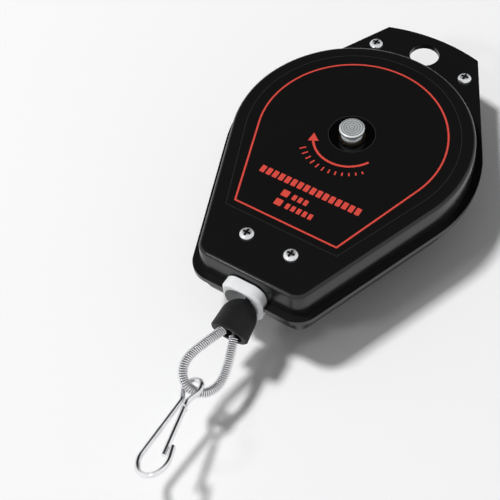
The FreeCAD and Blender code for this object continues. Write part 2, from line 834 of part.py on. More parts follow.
def drum_bush():
    body = new_node("drum_bush")
    bore = "shaft_radius + running_fit"
    outer = f"{bore} + drum_bush_wall - 0.02"
    front, rear = f"{DRUM_REAR} - drum_hub_length", f"{DRUM_REAR} + ratchet_gap / 2"
    revolve(body, [(bore, front), (outer, front), (outer, rear), (bore, rear)])
    place(body, z="-shaft_drop")


def wound_rope():
    """The full turns of rope on the drum, a ring with a round ridge each; the last groove is the lead's."""
    body = new_node("wound_rope")
    start = f"{DRUM_FRONT} + drum_flange_thickness"
    inner, valley, radius = "rope_wind_radius - 0.4", "rope_wind_radius + 0.6", "rope_diameter / 2"
    inner_half = f"sqrt(pow({radius}; 2) - pow(0.4; 2))"
    valley_half = f"sqrt(pow({radius}; 2) - pow(0.6; 2))"
    turns = SIZES["rope_turns"] - 1
    corners = [(inner, f"{start} + rope_pitch / 2 - {inner_half}")]
    for turn in range(turns):
        middle = f"{start} + rope_pitch * ({turn} + 0.5)"
        if turn:
            corners.append((valley, f"{middle} - {valley_half}"))
        if turn < turns - 1:
            corners.append((valley, f"{middle} + {valley_half}", radius, 1))
        else:
            corners.append((inner, f"{middle} + {inner_half}", radius, 1))
    revolve(body, corners)
    place(body, z="-shaft_drop")


def spiral_spring():
    """Flat strip wound in half circles from the arbor's slot out to the drum's rim."""
    strip = value("spring_strip")
    inner = value("arbor_radius") + strip / 2 + 0.35
    outer = value("rope_wind_radius - rope_diameter / 2 - drum_rim_wall - spring_rim_gap") - strip / 2
    halves = 2 * int(value("spring_turns"))
    growth = (outer - inner) / halves

    def side(shift):
        edges, radius, centre = [], inner + shift, 0.0
        for half in range(halves):
            sign = 1 if half % 2 == 0 else -1
            reach = sign * radius
            points = [(centre + reach, 0), (centre, reach), (centre - reach, 0)]
            edges.append(Part.Arc(*(Vector(x, 0, z) for x, z in points)).toShape())
            centre += sign * growth
            radius += growth
        return edges

    near_side, far_side = side(-strip / 2), side(strip / 2)
    ends = [
        Part.LineSegment(near_side[i].Vertexes[j].Point, far_side[i].Vertexes[j].Point).toShape()
        for i, j in ((0, 0), (-1, 1))
    ]
    face = Part.Face(Part.Wire(Part.__sortEdges__(near_side + far_side + ends)))
    low = value(f"{ARBOR_START} + spring_side_gap")
    high = value(f"{DRUM_REAR} - drum_hub_length - 0.4 - spring_side_gap")
    floor = value("arbor_radius - arbor_slot_depth") + 0.2
    tab = Part.makeBox(inner + strip / 2 - floor, high - low, strip, Vector(floor, 0, -strip / 2))
    solid = face.extrude(Vector(0, high - low, 0)).fuse(tab)
    turn = ratchet_turn()
    shape_node("spiral_spring", solid, Placement(Vector(0, low, -value("shaft_drop")), turn))


# ---------------------------------------------------------------- ratchet


def ratchet_turn():
    """The pawl's own directions: local X points from the shaft to the pawl's tip."""
    return Rotation(Vector(0, -1, 0), value("pawl_angle"))


def ratchet_wheel():
    body = new_node("ratchet_wheel")
    disc = sketch_on(body, "XZ_Plane", "Teeth", f"-({WHEEL_START})")
    corners = []
    for tooth in range(SIZES["ratchet_teeth"]):
        turn = f"{tooth} * 360 / ratchet_teeth"
        for radius in ("ratchet_tip_radius", "ratchet_root_radius"):
            corners.append((f"{radius} * cos({turn})", f"{radius} * sin({turn})"))
    outline(disc, corners)
    pad(body, disc, "ratchet_thickness", reverse=True)
    bore = sketch_on(body, "XZ_Plane", "Bore", f"-({WHEEL_START})")
    radius, flat = "shaft_radius + running_fit / 2", "shaft_flat_half + running_fit / 2"
    half = f"sqrt(pow({radius}; 2) - pow({flat}; 2))"
    upper = [(half, flat, radius, 1), (f"-{half}", flat)]
    lower = [(f"-{half}", f"-({flat})", radius, 1), (half, f"-({flat})")]
    outline(bore, upper + lower)
    pocket(body, bore, "ratchet_thickness", reverse=False)
    place(body, z="-shaft_drop", rotation=ratchet_turn())


def pawl():
    """Lever whose tip lies against a tooth's steep side, in line with its pivot."""
    body = new_node("pawl")
    floor = "ratchet_root_radius + 0.35"
    top = f"{floor} + pawl_depth"
    arm = sketch_on(body, "XZ_Plane", "Arm", f"-({WHEEL_START} + pawl_side_gap)")
    outline(
        arm,
        [
            (floor, "pawl_tip_gap"),
            (top, "pawl_tip_gap"),
            (f"{PAWL_LINE} + pawl_boss_radius - 0.05", PAWL_PIVOT),
            (f"{floor} + 0.75", PAWL_PIVOT),
            (f"{floor} + 0.75", "pawl_tip_gap + 2.2"),
        ],
    )
    pad(body, arm, "ratchet_thickness - 2 * pawl_side_gap", reverse=True)
    boss = sketch_on(body, "XZ_Plane", "Boss", f"-({WHEEL_START} + pawl_side_gap)")
    circle(boss, PAWL_LINE, PAWL_PIVOT, "pawl_boss_radius")
    pad(body, boss, "ratchet_thickness - 2 * pawl_side_gap", reverse=True)
    hole = sketch_on(body, "XZ_Plane", "Hole", f"-({WHEEL_START} + pawl_side_gap)")
    circle(hole, PAWL_LINE, PAWL_PIVOT, "rivet_radius + running_fit")
    pocket(body, hole, "ratchet_thickness")
    place(body, z="-shaft_drop", rotation=ratchet_turn())


def case_rivet(label, radius, head, front, shoulder=None):
    """Rivet through the rear cover, standing forward into the case, in its own axis frame."""
    body = new_node(label)
    wall, inside = "rear_depth", "rear_depth - sheet_metal"
    corners = [("0", front), (radius, front)]
    if shoulder:
        corners = [("0", f"{front} - 0.35"), (head, f"{front} - 0.35"), (head, front), (radius, front)]
        corners += [(radius, WHEEL_END), (shoulder, WHEEL_END), (shoulder, inside), (radius, inside)]
    corners += [
        (radius, wall),
        (head, wall),
        (head, f"{wall} + rivet_head_height * 0.3"),
        (f"{head} * 0.6", f"{wall} + rivet_head_height"),
        ("0", f"{wall} + rivet_head_height"),
    ]
    revolve(body, corners)
    return body


def at_pawl(body, radial, tangential):
    """Stand a piece at a point given in the pawl's own directions."""
    turn = ratchet_turn()
    offset = turn.multVec(Vector(value(radial), 0, value(tangential)))
    body.Placement = Placement(Vector(0, 0, -value("shaft_drop")) + offset, turn)


def pawl_spring():
    """Leaf that holds the pawl down: a loop round its peg and a straight leg to the pawl's back."""
    body = new_node("pawl_spring")
    level = f"-({WHEEL_START} + pawl_side_gap + 0.2)"
    height = "ratchet_thickness - 2 * pawl_side_gap - 0.4"
    peg_x = f"{PAWL_LINE} + peg_offset"
    leg = sketch_on(body, "XZ_Plane", "Leg", level)
    touch_x, touch_z = "ratchet_root_radius + 0.35 + pawl_depth + 0.35", "pawl_tip_gap + 3"
    start_x, start_z = f"{peg_x} - peg_radius - leaf_thickness", PAWL_PIVOT
    outline(
        leg,
        [
            (touch_x, touch_z),
            (f"{touch_x} + leaf_thickness", touch_z),
            (f"{start_x} + leaf_thickness", start_z),
            (start_x, start_z),
        ],
    )
    pad(body, leg, height, reverse=True)
    ring = sketch_on(body, "XZ_Plane", "Ring", level)
    circle(ring, peg_x, PAWL_PIVOT, "peg_radius + leaf_thickness + 0.1")
    pad(body, ring, height, reverse=True)
    hole = sketch_on(body, "XZ_Plane", "Peg hole", level)
    circle(hole, peg_x, PAWL_PIVOT, "peg_radius + 0.1")
    pocket(body, hole, height)
    place(body, z="-shaft_drop", rotation=ratchet_turn())


# ---------------------------------------------------------------- rope guide and rope


def rope_guide():
    """Nylon mouthpiece: rounded block under the case, neck through its wall, and a funnel bore."""
    body = new_node("rope_guide")
    width, depth, corner = "guide_width / 2", "guide_depth / 2", "guide_corner"
    block = sketch_on(body, "XY_Plane", "Block", f"{GUIDE_SHELF} - guide_stand")
    outline(
        block,
        [
            (width, f"{corner} - {depth}", corner, 1),
            (width, f"{depth} - {corner}"),
            (f"{width} - {corner}", depth, corner, 1),
            (f"{corner} - {width}", depth),
            (f"-{width}", f"{depth} - {corner}", corner, 1),
            (f"-{width}", f"{corner} - {depth}"),
            (f"{corner} - {width}", f"-{depth}", corner, 1),
            (f"{width} - {corner}", f"-{depth}"),
        ],
    )
    pad(body, block, "guide_stand")
    bottom = value(f"{GUIDE_SHELF} - guide_stand")
    round_edges(body, "guide_chamfer", lambda p: near(p.z, bottom), kind="Chamfer")
    neck = sketch_on(body, "XY_Plane", "Neck", GUIDE_SHELF)
    circle(neck, "0", "0", "guide_neck_radius")
    pad(body, neck, "sheet_metal + guide_head_gap")
    head = sketch_on(body, "XY_Plane", "Head", f"{GUIDE_SHELF} + sheet_metal + guide_head_gap")
    circle(head, "0", "0", "guide_neck_radius + guide_head_width")
    pad(body, head, "guide_head_height")
    top = f"{GUIDE_SHELF} + sheet_metal + guide_head_gap + guide_head_height"
    revolve(
        body,
        [
            ("0", f"{GUIDE_SHELF} - guide_stand"),
            ("guide_mouth_radius", f"{GUIDE_SHELF} - guide_stand"),
            ("guide_throat_radius", f"{top} - guide_throat_flare", "guide_funnel_radius", 1),
            ("guide_throat_radius + guide_throat_flare", top),
            ("0", top),
        ],
        plane="XZ_Plane",
        cut=True,
    )


def mouth_point():
    """Where the rope's line crosses the mouth of the guide."""
    return Vector(value("rope_exit_x"), 0, value(f"{GUIDE_SHELF} - guide_stand"))


def rope_frame(yaw=0.0):
    """Rope end's frame: origin at the guide's mouth, Z up along the leaning, tilted rope."""
    lean = Rotation(Vector(0, 1, 0), -value("rope_lean"))
    lean = lean.multiply(Rotation(Vector(1, 0, 0), value("rope_tilt")))
    return Placement(mouth_point(), lean.multiply(Rotation(Vector(0, 0, 1), yaw)))


def rope_lead():
    """Rope from the drum's last groove, on its left side, down into the guide's throat."""
    frame = rope_frame()
    corner = frame.multVec(Vector(0, 0, LEAD_CORNER))
    end = frame.multVec(Vector(0, 0, LEAD_END))
    shaft = Vector(0, 0, -value("shaft_drop"))
    wind = value("rope_wind_radius")
    reach = shaft - corner
    lean = math.atan2(-reach.x, reach.z) + math.asin(wind / reach.Length)
    along = Vector(-math.sin(lean), 0, math.cos(lean))
    start = corner + along * math.sqrt(reach.Length ** 2 - wind ** 2)
    leaving = start - along * 16
    start.y = leaving.y = value(f"{DRUM_FRONT} + drum_flange_thickness + rope_pitch * (rope_turns - 0.5)")
    path, _ = smooth_path([start, leaving, corner, end], [None, 2 * value("rope_diameter")])
    shape_node("rope_lead", tube(path, value("rope_diameter / 2")))


# Along the rope's line above the guide's mouth: where it turns towards the drum, and where the
# straight run starts.
LEAD_CORNER = 8.9
LEAD_END = 6.4


def rope_run():
    """Straight rope between the guide's throat and the ferrule; it grows as the rope is pulled."""
    body = new_node("rope_run")
    bottom = "-ferrule_top"
    section = sketch_on(body, "XY_Plane", "Rope", bottom)
    circle(section, "0", "0", "rope_diameter / 2")
    pad(body, section, f"ferrule_top + {LEAD_END}")
    body.Placement = rope_frame()


def rope_stopper():
    """Bullet-shaped rubber buffer; its nose seats in the guide's funnel."""
    body = new_node("rope_stopper")
    low, shoulder = "-stopper_below", "stopper_straight - stopper_below"
    hole, cavity = "rope_diameter / 2 + 0.25", "stopper_radius - stopper_wall"
    ceiling = "-ferrule_top + 0.4"
    revolve(
        body,
        [
            (hole, "stopper_above"),
            (hole, ceiling),
            (cavity, ceiling),
            (cavity, low),
            ("stopper_radius - 0.5", low),
            ("stopper_radius", f"{low} + 0.5"),
            ("stopper_neck_radius", shoulder),
            ("stopper_nose_radius", "stopper_above", "stopper_dome_radius", 1),
        ],
        plane="XZ_Plane",
    )
    body.Placement = rope_frame()


def slot_outline(sketch, half_width, radius):
    """A slot with round ends, level along X; each end is two quarter arcs."""
    outline(
        sketch,
        [
            (half_width, f"-({radius})"),
            (f"{half_width} + {radius}", "0", radius, 1),
            (half_width, radius, radius, 1),
            (f"-({half_width})", radius),
            (f"-({half_width}) - ({radius})", "0", radius, 1),
            (f"-({half_width})", f"-({radius})", radius, 1),
        ],
    )


def rope_ferrule():
    """Crimped sleeve over the two strands of the eye."""
    body = new_node("rope_ferrule")
    strand = "rope_diameter / 2 + strand_gap"
    level = "-ferrule_top - ferrule_length"
    shell = sketch_on(body, "XY_Plane", "Sleeve", level)
    slot_outline(shell, strand, f"{strand} + ferrule_wall")
    pad(body, shell, "ferrule_length")
    bores = sketch_on(body, "XY_Plane", "Strands", level)
    for sign in ("", "-"):
        circle(bores, f"{sign}({strand})", "0", "rope_diameter / 2 + strand_gap / 2")
    pocket(body, bores, "ferrule_length * 0.7", reverse=True)
    body.Placement = rope_frame(value("eye_yaw"))


def rope_eye():
    """The rope's eye below the stopper."""
    path, radii = smooth_path([Vector(x, 0, z) for x, z in EYE_ROUTE])
    print("rope eye: bend radii", [round(r, 1) for r in radii], "length", round(path.Length, 1))
    shape_node("rope_eye", tube(path, value("rope_diameter / 2")), rope_frame(value("eye_yaw")))


def eye_guard():
    """Close-wound coil over the eye's rope, taken as a sleeve; it starts inside the stopper's mouth."""
    route = [Vector(x, 0, z) for x, z in EYE_ROUTE[1:-1]]
    for end, inner in ((0, 1), (-1, -2)):
        leg = route[end] - route[inner]
        route[end] = route[inner] + leg * ((GUARD_START - route[inner].z) / leg.z)
    path, _ = smooth_path(route)
    hole = value("rope_diameter / 2 + guard_gap")
    sleeve = tube(path, hole + value("guard_wire")).cut(tube(path, hole))
    shape_node("eye_guard", sleeve, rope_frame(value("eye_yaw")))


# ---------------------------------------------------------------- snap hook


def hook_frame():
    """Hook's frame: origin on the rope's centre line at the bottom of the eye, Z up the hook."""
    origin = rope_frame(value("eye_yaw")).multVec(Vector(EYE_BOTTOM[0], 0, EYE_BOTTOM[1]))
    lean = Rotation(Vector(0, 1, 0), -value("hook_lean"))
    return Placement(origin, lean.multiply(Rotation(Vector(0, 0, 1), value("hook_yaw"))))


def tangent_point(centre, radius, point, side):
    """Where the tangent from a point touches a circle; side +1 or -1 chooses which one."""
    away = point - centre
    turn = side * math.acos(radius / away.Length)
    along = Vector(away).normalize()
    return centre + Vector(
        along.x * math.cos(turn) - along.z * math.sin(turn),
        0,
        along.x * math.sin(turn) + along.z * math.cos(turn),
    ) * radius


def hook_tip():
    """The hook's bend beyond the level: where its arc ends and where the straight tip ends."""
    bend = Vector(value("hook_bend_x"), 0, -value("hook_bend_down"))
    turn = math.radians(value("hook_tip_turn"))
    out = Vector(math.cos(turn), 0, math.sin(turn))
    start = bend + out * value("hook_bend_radius")
    return start, start + Vector(-out.z, 0, out.x) * value("hook_tip_rise"), out


def gate_root():
    return Vector(value("gate_root_x"), 0, -value("gate_root_down"))


def snap_hook():
    """One bent wire: from the gate's root round the eye, down the back and round the bend."""
    wire, ring = value("hook_wire_radius"), value("hook_eye_radius")
    rope = value("rope_diameter / 2 + guard_gap + guard_wire")
    eye = Vector(0, 0, ring - wire - rope - value("hook_eye_gap"))
    neck, down = value("hook_neck_x"), -value("hook_neck_down")
    left, right = Vector(-neck, 0, down), Vector(neck, 0, down)
    bend = Vector(value("hook_bend_x"), 0, -value("hook_bend_down"))
    radius = value("hook_bend_radius")
    shank = (right - gate_root()).normalize()
    root = gate_root() + shank * (wire + value("gate_root_gap"))
    into_eye, out_of_eye = tangent_point(eye, ring, right, 1), tangent_point(eye, ring, left, -1)
    into_bend = tangent_point(bend, radius, left, 1)
    start, _ = smooth_path([root, right, into_eye], [value("hook_neck_round")])
    back, _ = smooth_path([out_of_eye, left, into_bend], [value("hook_neck_round")])
    turned_up, tip, _ = hook_tip()
    edges = list(start.OrderedEdges)
    edges.append(Part.Arc(into_eye, eye + Vector(0, 0, ring), out_of_eye).toShape())
    edges += list(back.OrderedEdges)
    edges.append(Part.Arc(into_bend, bend - Vector(0, 0, radius), turned_up).toShape())
    edges.append(Part.LineSegment(turned_up, tip).toShape())
    shape_node("snap_hook", tube(Part.Wire(edges), wire), hook_frame())


def hook_gate():
    """The hook's sprung side: a knuckle on its hinge line and a wire that closes inside the tip."""
    wire = value("hook_wire_radius")
    root = gate_root()
    _, tip, out = hook_tip()
    beside = tip - out * wire - Vector(wire + value("gate_tip_gap"), 0, 0)
    along = (beside - root).normalize()
    path = Part.Wire([Part.LineSegment(root, beside + along * value("gate_overlap")).toShape()])
    knuckle = Part.makeCylinder(wire, 1.6 * wire, root - Vector(0, 0.8 * wire, 0), Vector(0, 1, 0))
    shape_node("hook_gate", tube(path, wire).fuse(knuckle), hook_frame())


# ---------------------------------------------------------------- build


def build():
    case_half("front_cover", front=True)
    case_half("rear_cover", front=False)
    front_label()
    lug_z, foot_z = "-lug_screw_drop", "-shaft_drop - foot_screw_down"
    lug_reach = "2 * sheet_metal + nut_height + screw_tail"
    foot_reach = "front_depth + rear_depth + nut_height + screw_tail"
    screw_pair("lug_screws", "lug_screw_x", lug_z, "-sheet_metal", lug_reach)
    screw_pair("foot_screws", "foot_screw_x", foot_z, "-front_depth", foot_reach)
    nut_pair("lug_nuts", "lug_screw_x", lug_z, "sheet_metal")
    nut_pair("foot_nuts", "foot_screw_x", foot_z, "rear_depth")
    spacer_pair()
    case_bush("front_bush", front=True)
    case_bush("rear_bush", front=False)
    centre_shaft()
    spring_arbor()
    arbor_pin()
    shaft_clip()
    rope_drum()
    drum_cover()
    drum_bush()
    wound_rope()
    spiral_spring()
    ratchet_wheel()
    pawl()
    rivet = case_rivet(
        "pawl_rivet", "rivet_radius", "rivet_head_radius", f"{WHEEL_START} + 0.05", "rivet_radius + 1"
    )
    at_pawl(rivet, PAWL_LINE, PAWL_PIVOT)
    peg = case_rivet("spring_peg", "peg_radius", "peg_radius * 2", f"{WHEEL_START} + 0.2")
    at_pawl(peg, f"{PAWL_LINE} + peg_offset", PAWL_PIVOT)
    pawl_spring()
    rope_guide()
    rope_lead()
    rope_run()
    rope_stopper()
    rope_ferrule()
    rope_eye()
    eye_guard()
    snap_hook()
    hook_gate()


def export():
    """Check every object and every node's shape, then write one STEP file per node."""
    DOC.recompute()
    for item in DOC.Objects:
        if "Invalid" in item.State or "Error" in item.State:
            raise ValueError(f"{item.Label} failed: {item.State}")
    for node in NODES:
        if node.Shape.isNull() or not node.Shape.isValid() or not node.Shape.Solids:
            raise ValueError(f"{node.Label} has no valid solid")
    os.makedirs("parts", exist_ok=True)
    for node in NODES:
        node.Shape.exportStep(f"parts/{node.Label}.step")
    print(len(NODES), "nodes written")


build()
export()
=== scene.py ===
"""Spring balancer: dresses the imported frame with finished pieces, a camera and a plain studio."""

from __future__ import annotations

import logging
import math
from dataclasses import dataclass
from enum import Enum
from typing import Callable, Iterable, Optional, Sequence, Union

import bpy
from mathutils import Euler, Matrix, Vector

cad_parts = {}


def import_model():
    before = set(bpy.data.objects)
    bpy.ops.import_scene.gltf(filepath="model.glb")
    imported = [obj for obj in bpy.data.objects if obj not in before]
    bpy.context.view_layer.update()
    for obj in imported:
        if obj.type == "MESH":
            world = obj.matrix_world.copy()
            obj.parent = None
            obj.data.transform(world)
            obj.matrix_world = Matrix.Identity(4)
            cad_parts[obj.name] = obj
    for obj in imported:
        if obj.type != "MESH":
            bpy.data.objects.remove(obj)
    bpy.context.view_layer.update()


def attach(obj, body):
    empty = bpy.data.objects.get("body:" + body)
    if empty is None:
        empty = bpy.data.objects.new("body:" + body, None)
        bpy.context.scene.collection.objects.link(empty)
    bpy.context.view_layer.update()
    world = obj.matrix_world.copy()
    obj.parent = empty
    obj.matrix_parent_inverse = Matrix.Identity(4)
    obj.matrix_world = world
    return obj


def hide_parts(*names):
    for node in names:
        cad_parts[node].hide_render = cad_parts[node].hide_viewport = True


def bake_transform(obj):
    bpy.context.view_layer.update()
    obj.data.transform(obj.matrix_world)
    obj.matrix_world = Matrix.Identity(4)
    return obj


LOG = logging.getLogger("balancer")
MM = 0.001

# The shaft lies along Y at this height, in the middle of a round dish in the front cover.
SHAFT_Z = -65 * MM
DISH_RADIUS = 9.6 * MM

# Points closer together than this are one point, and faces flatter than this are one face.
MERGE = 0.002 * MM
FLAT = math.radians(0.3)

# Noise seldom leaves this range, so tones and roughness are spread over it.
NOISE_LOW, NOISE_HIGH = 0.3, 0.7

Colour = tuple[float, float, float]
Place = tuple[float, float, float]
Strength = Union[float, bpy.types.NodeSocket]


class Body(Enum):
    """The rigid bodies that the finished pieces ride on."""

    HOUSING = "housing"
    ADJUSTER = "adjuster"
    ROPE_END = "rope_end"
    HOOK = "hook"
    GATE = "gate"


class Element(Enum):
    """What a selection in edit mode is made of."""

    VERTEX = "VERT"
    FACE = "FACE"


# ---------------------------------------------------------------- bench: small modelling tools


class Bench:
    """Operators and selections that every sub-assembly works with."""

    @staticmethod
    def enter() -> None:
        """Edit mode, with everything selected."""
        bpy.ops.object.mode_set(mode="EDIT")
        bpy.ops.mesh.select_all(action="SELECT")

    @staticmethod
    def leave() -> None:
        """Back to object mode."""
        bpy.ops.object.mode_set(mode="OBJECT")

    @staticmethod
    def clear() -> None:
        """Deselect everything, in object mode."""
        if bpy.context.object and bpy.context.object.mode != "OBJECT":
            Bench.leave()
        bpy.ops.object.select_all(action="DESELECT")

    @staticmethod
    def take(piece: bpy.types.Object) -> None:
        """Make one object the only selected and active one.

        Args:
            piece: the object to work on.
        """
        Bench.clear()
        piece.select_set(True)
        bpy.context.view_layer.objects.active = piece

    @staticmethod
    def started(name: str) -> bpy.types.Object:
        """Name the primitive that an operator has just added.

        Args:
            name: the piece's name.

        Returns:
            The new object.
        """
        piece = bpy.context.object
        piece.name = piece.data.name = name
        return piece

    @staticmethod
    def linked(name: str, data: bpy.types.ID) -> bpy.types.Object:
        """Put new data into the scene as an object.

        Args:
            name: the object's name.
            data: its mesh, curve, camera or light.

        Returns:
            The new object.
        """
        made = bpy.data.objects.new(name, data)
        bpy.context.scene.collection.objects.link(made)
        return made

    @staticmethod
    def pick(
        piece: bpy.types.Object,
        kind: Element,
        test: Callable[[Vector], bool] = lambda place: True,
    ) -> int:
        """Select the vertices or faces that pass a test, and enter edit mode.

        Args:
            piece: the mesh object.
            kind: what is selected.
            test: told an element's middle; without a test, everything is selected.

        Returns:
            How many were picked.
        """
        if piece.mode != "OBJECT":
            Bench.leave()
        mesh = piece.data
        for group in (mesh.vertices, mesh.edges, mesh.polygons):
            group.foreach_set("select", [False] * len(group))
        picked = 0
        if kind is Element.VERTEX:
            for vertex in mesh.vertices:
                vertex.select = test(vertex.co)
                picked += vertex.select
        else:
            for face in mesh.polygons:
                face.select = test(face.center)
                picked += face.select
        bpy.ops.object.mode_set(mode="EDIT")
        bpy.ops.mesh.select_mode(type=kind.value)
        return picked

    @staticmethod
    def outward(piece: bpy.types.Object) -> None:
        """Merge doubles and turn every face outwards.

        Args:
            piece: a closed mesh.
        """
        Bench.take(piece)
        Bench.enter()
        bpy.ops.mesh.remove_doubles(threshold=MERGE)
        bpy.ops.mesh.normals_make_consistent(inside=False)
        Bench.leave()

    @staticmethod
    def apply_place(piece: bpy.types.Object) -> None:
        """Bring an object's place, turn and scale into its mesh.

        Args:
            piece: the mesh object.
        """
        Bench.take(piece)
        bpy.ops.object.transform_apply(location=True, rotation=True, scale=True)

    @staticmethod
    def settle(piece: bpy.types.Object, smooth: float = 30) -> None:
        """Bring a finished piece's place into its mesh and smooth its rounded faces.

        Args:
            piece: the mesh object.
            smooth: faces that meet at less than this angle are shaded smooth, in degrees.
        """
        Bench.apply_place(piece)
        bpy.ops.object.shade_smooth_by_angle(angle=math.radians(smooth))

    @staticmethod
    def joined(pieces: Sequence[bpy.types.Object], name: str) -> bpy.types.Object:
        """Join several meshes into one object.

        Args:
            pieces: the meshes, of which the first one stays.
            name: the joined piece's name.

        Returns:
            The joined object.
        """
        Bench.take(pieces[0])
        for piece in pieces[1:]:
            piece.select_set(True)
        bpy.ops.object.join()
        return Bench.started(name)

    @staticmethod
    def tube(name: str, points: Sequence[Vector], around: int) -> bpy.types.Object:
        """A tube through rings of points, closed at both ends.

        Args:
            name: the piece's name.
            points: one ring of points after another.
            around: how many points each ring has.

        Returns:
            The tube.
        """
        faces = []
        for foot in range(0, len(points) - around, around):
            for step in range(around):
                a, b = foot + step, foot + (step + 1) % around
                faces.append((a, b, b + around, a + around))
        faces.append(tuple(reversed(range(around))))
        faces.append(tuple(range(len(points) - around, len(points))))
        mesh = bpy.data.meshes.new(name)
        mesh.from_pydata([tuple(point) for point in points], [], faces)
        return Bench.linked(name, mesh)

    @staticmethod
    def from_frame(node: str, name: str, smooth: float = 28) -> bpy.types.Object:
        """A merged and smoothed copy of a frame node, to be finished further.

        Args:
            node: the frame's node.
            name: the new piece's name.
            smooth: faces that meet at less than this angle are shaded smooth, in degrees.

        Returns:
            The copy, which doesn't ride on anything yet.
        """
        copy = Bench.linked(name, bpy.data.objects[node].data.copy())
        copy.data.name = name
        copy.data.materials.clear()
        Bench.take(copy)
        bpy.ops.mesh.customdata_custom_splitnormals_clear()
        Bench.enter()
        bpy.ops.mesh.remove_doubles(threshold=MERGE)
        bpy.ops.mesh.dissolve_limited(angle_limit=FLAT, delimit={"NORMAL"})
        bpy.ops.mesh.select_all(action="SELECT")
        bpy.ops.mesh.normals_make_consistent(inside=False)
        Bench.leave()
        bpy.ops.object.shade_smooth_by_angle(angle=math.radians(smooth))
        return copy


# ---------------------------------------------------------------- finishes


class Weave:
    """A material under construction: a Principled shader and the nodes that feed it."""

    def __init__(self, name: str) -> None:
        """Start a material.

        Args:
            name: the material's name.
        """
        self.material = bpy.data.materials.new(name)
        self.material.use_nodes = True
        self.tree = self.material.node_tree
        self.shader = self.tree.nodes["Principled BSDF"]
        self.where = self.tree.nodes.new("ShaderNodeTexCoord").outputs["Object"]

    def node(self, kind: str, inputs: Optional[dict] = None, **settings: object) -> bpy.types.Node:
        """Add a node.

        Args:
            kind: the node's type without the ShaderNode prefix.
            inputs: input name or number to a value or an output socket.
            **settings: properties of the node.

        Returns:
            The node.
        """
        made = self.tree.nodes.new("ShaderNode" + kind)
        for key, value in settings.items():
            setattr(made, key, value)
        for key, value in (inputs or {}).items():
            if isinstance(value, bpy.types.NodeSocket):
                self.tree.links.new(value, made.inputs[key])
            else:
                made.inputs[key].default_value = value
        return made

    def plain(self, **values: object) -> None:
        """Set plain values on the shader's own sockets.

        Args:
            **values: socket names with underscores for spaces.
        """
        for key, value in values.items():
            self.shader.inputs[key.replace("_", " ")].default_value = value

    def feed(self, socket: str, output: bpy.types.NodeSocket) -> None:
        """Link an output to one of the shader's sockets.

        Args:
            socket: the shader's socket.
            output: what feeds it.
        """
        self.tree.links.new(output, self.shader.inputs[socket])

    def noise(self, scale: float, detail: float = 3, rough: float = 0.5) -> bpy.types.NodeSocket:
        """Noise over the object's own coordinates.

        Args:
            scale: noise scale, per metre.
            detail: octaves.
            rough: roughness of the octaves.

        Returns:
            The noise factor.
        """
        inputs = {"Vector": self.where, "Scale": scale, "Detail": detail, "Roughness": rough}
        return self.node("TexNoise", inputs).outputs["Fac"]

    def spread(self, factor: bpy.types.NodeSocket, low: float, high: float) -> bpy.types.NodeSocket:
        """Map a factor's middle range on to two values.

        Args:
            factor: a value that mostly lies between NOISE_LOW and NOISE_HIGH.
            low: the result at NOISE_LOW.
            high: the result at NOISE_HIGH.

        Returns:
            The mapped value.
        """
        inputs = {"Value": factor, "From Min": NOISE_LOW, "From Max": NOISE_HIGH}
        inputs.update({"To Min": low, "To Max": high})
        return self.node("MapRange", inputs).outputs["Result"]

    def tint(self, factor: bpy.types.NodeSocket, dark: Colour, pale: Colour) -> None:
        """Vary the base colour between two tones.

        Args:
            factor: the mix factor.
            dark: colour at 0.
            pale: colour at 1.
        """
        mix = self.node("Mix", {"Factor": factor}, data_type="RGBA")
        mix.inputs["A"].default_value = (*dark, 1)
        mix.inputs["B"].default_value = (*pale, 1)
        self.feed("Base Color", mix.outputs["Result"])

    def relief(self, heights: Iterable[tuple[bpy.types.NodeSocket, float, float]]) -> None:
        """Chain bumps into the shader's normal.

        Args:
            heights: (height, strength, distance in metres) from coarse to fine.
        """
        normal = None
        for height, strength, distance in heights:
            inputs = {"Height": height, "Strength": strength, "Distance": distance}
            if normal is not None:
                inputs["Normal"] = normal
            normal = self.node("Bump", inputs).outputs["Normal"]
        if normal is not None:
            self.feed("Normal", normal)


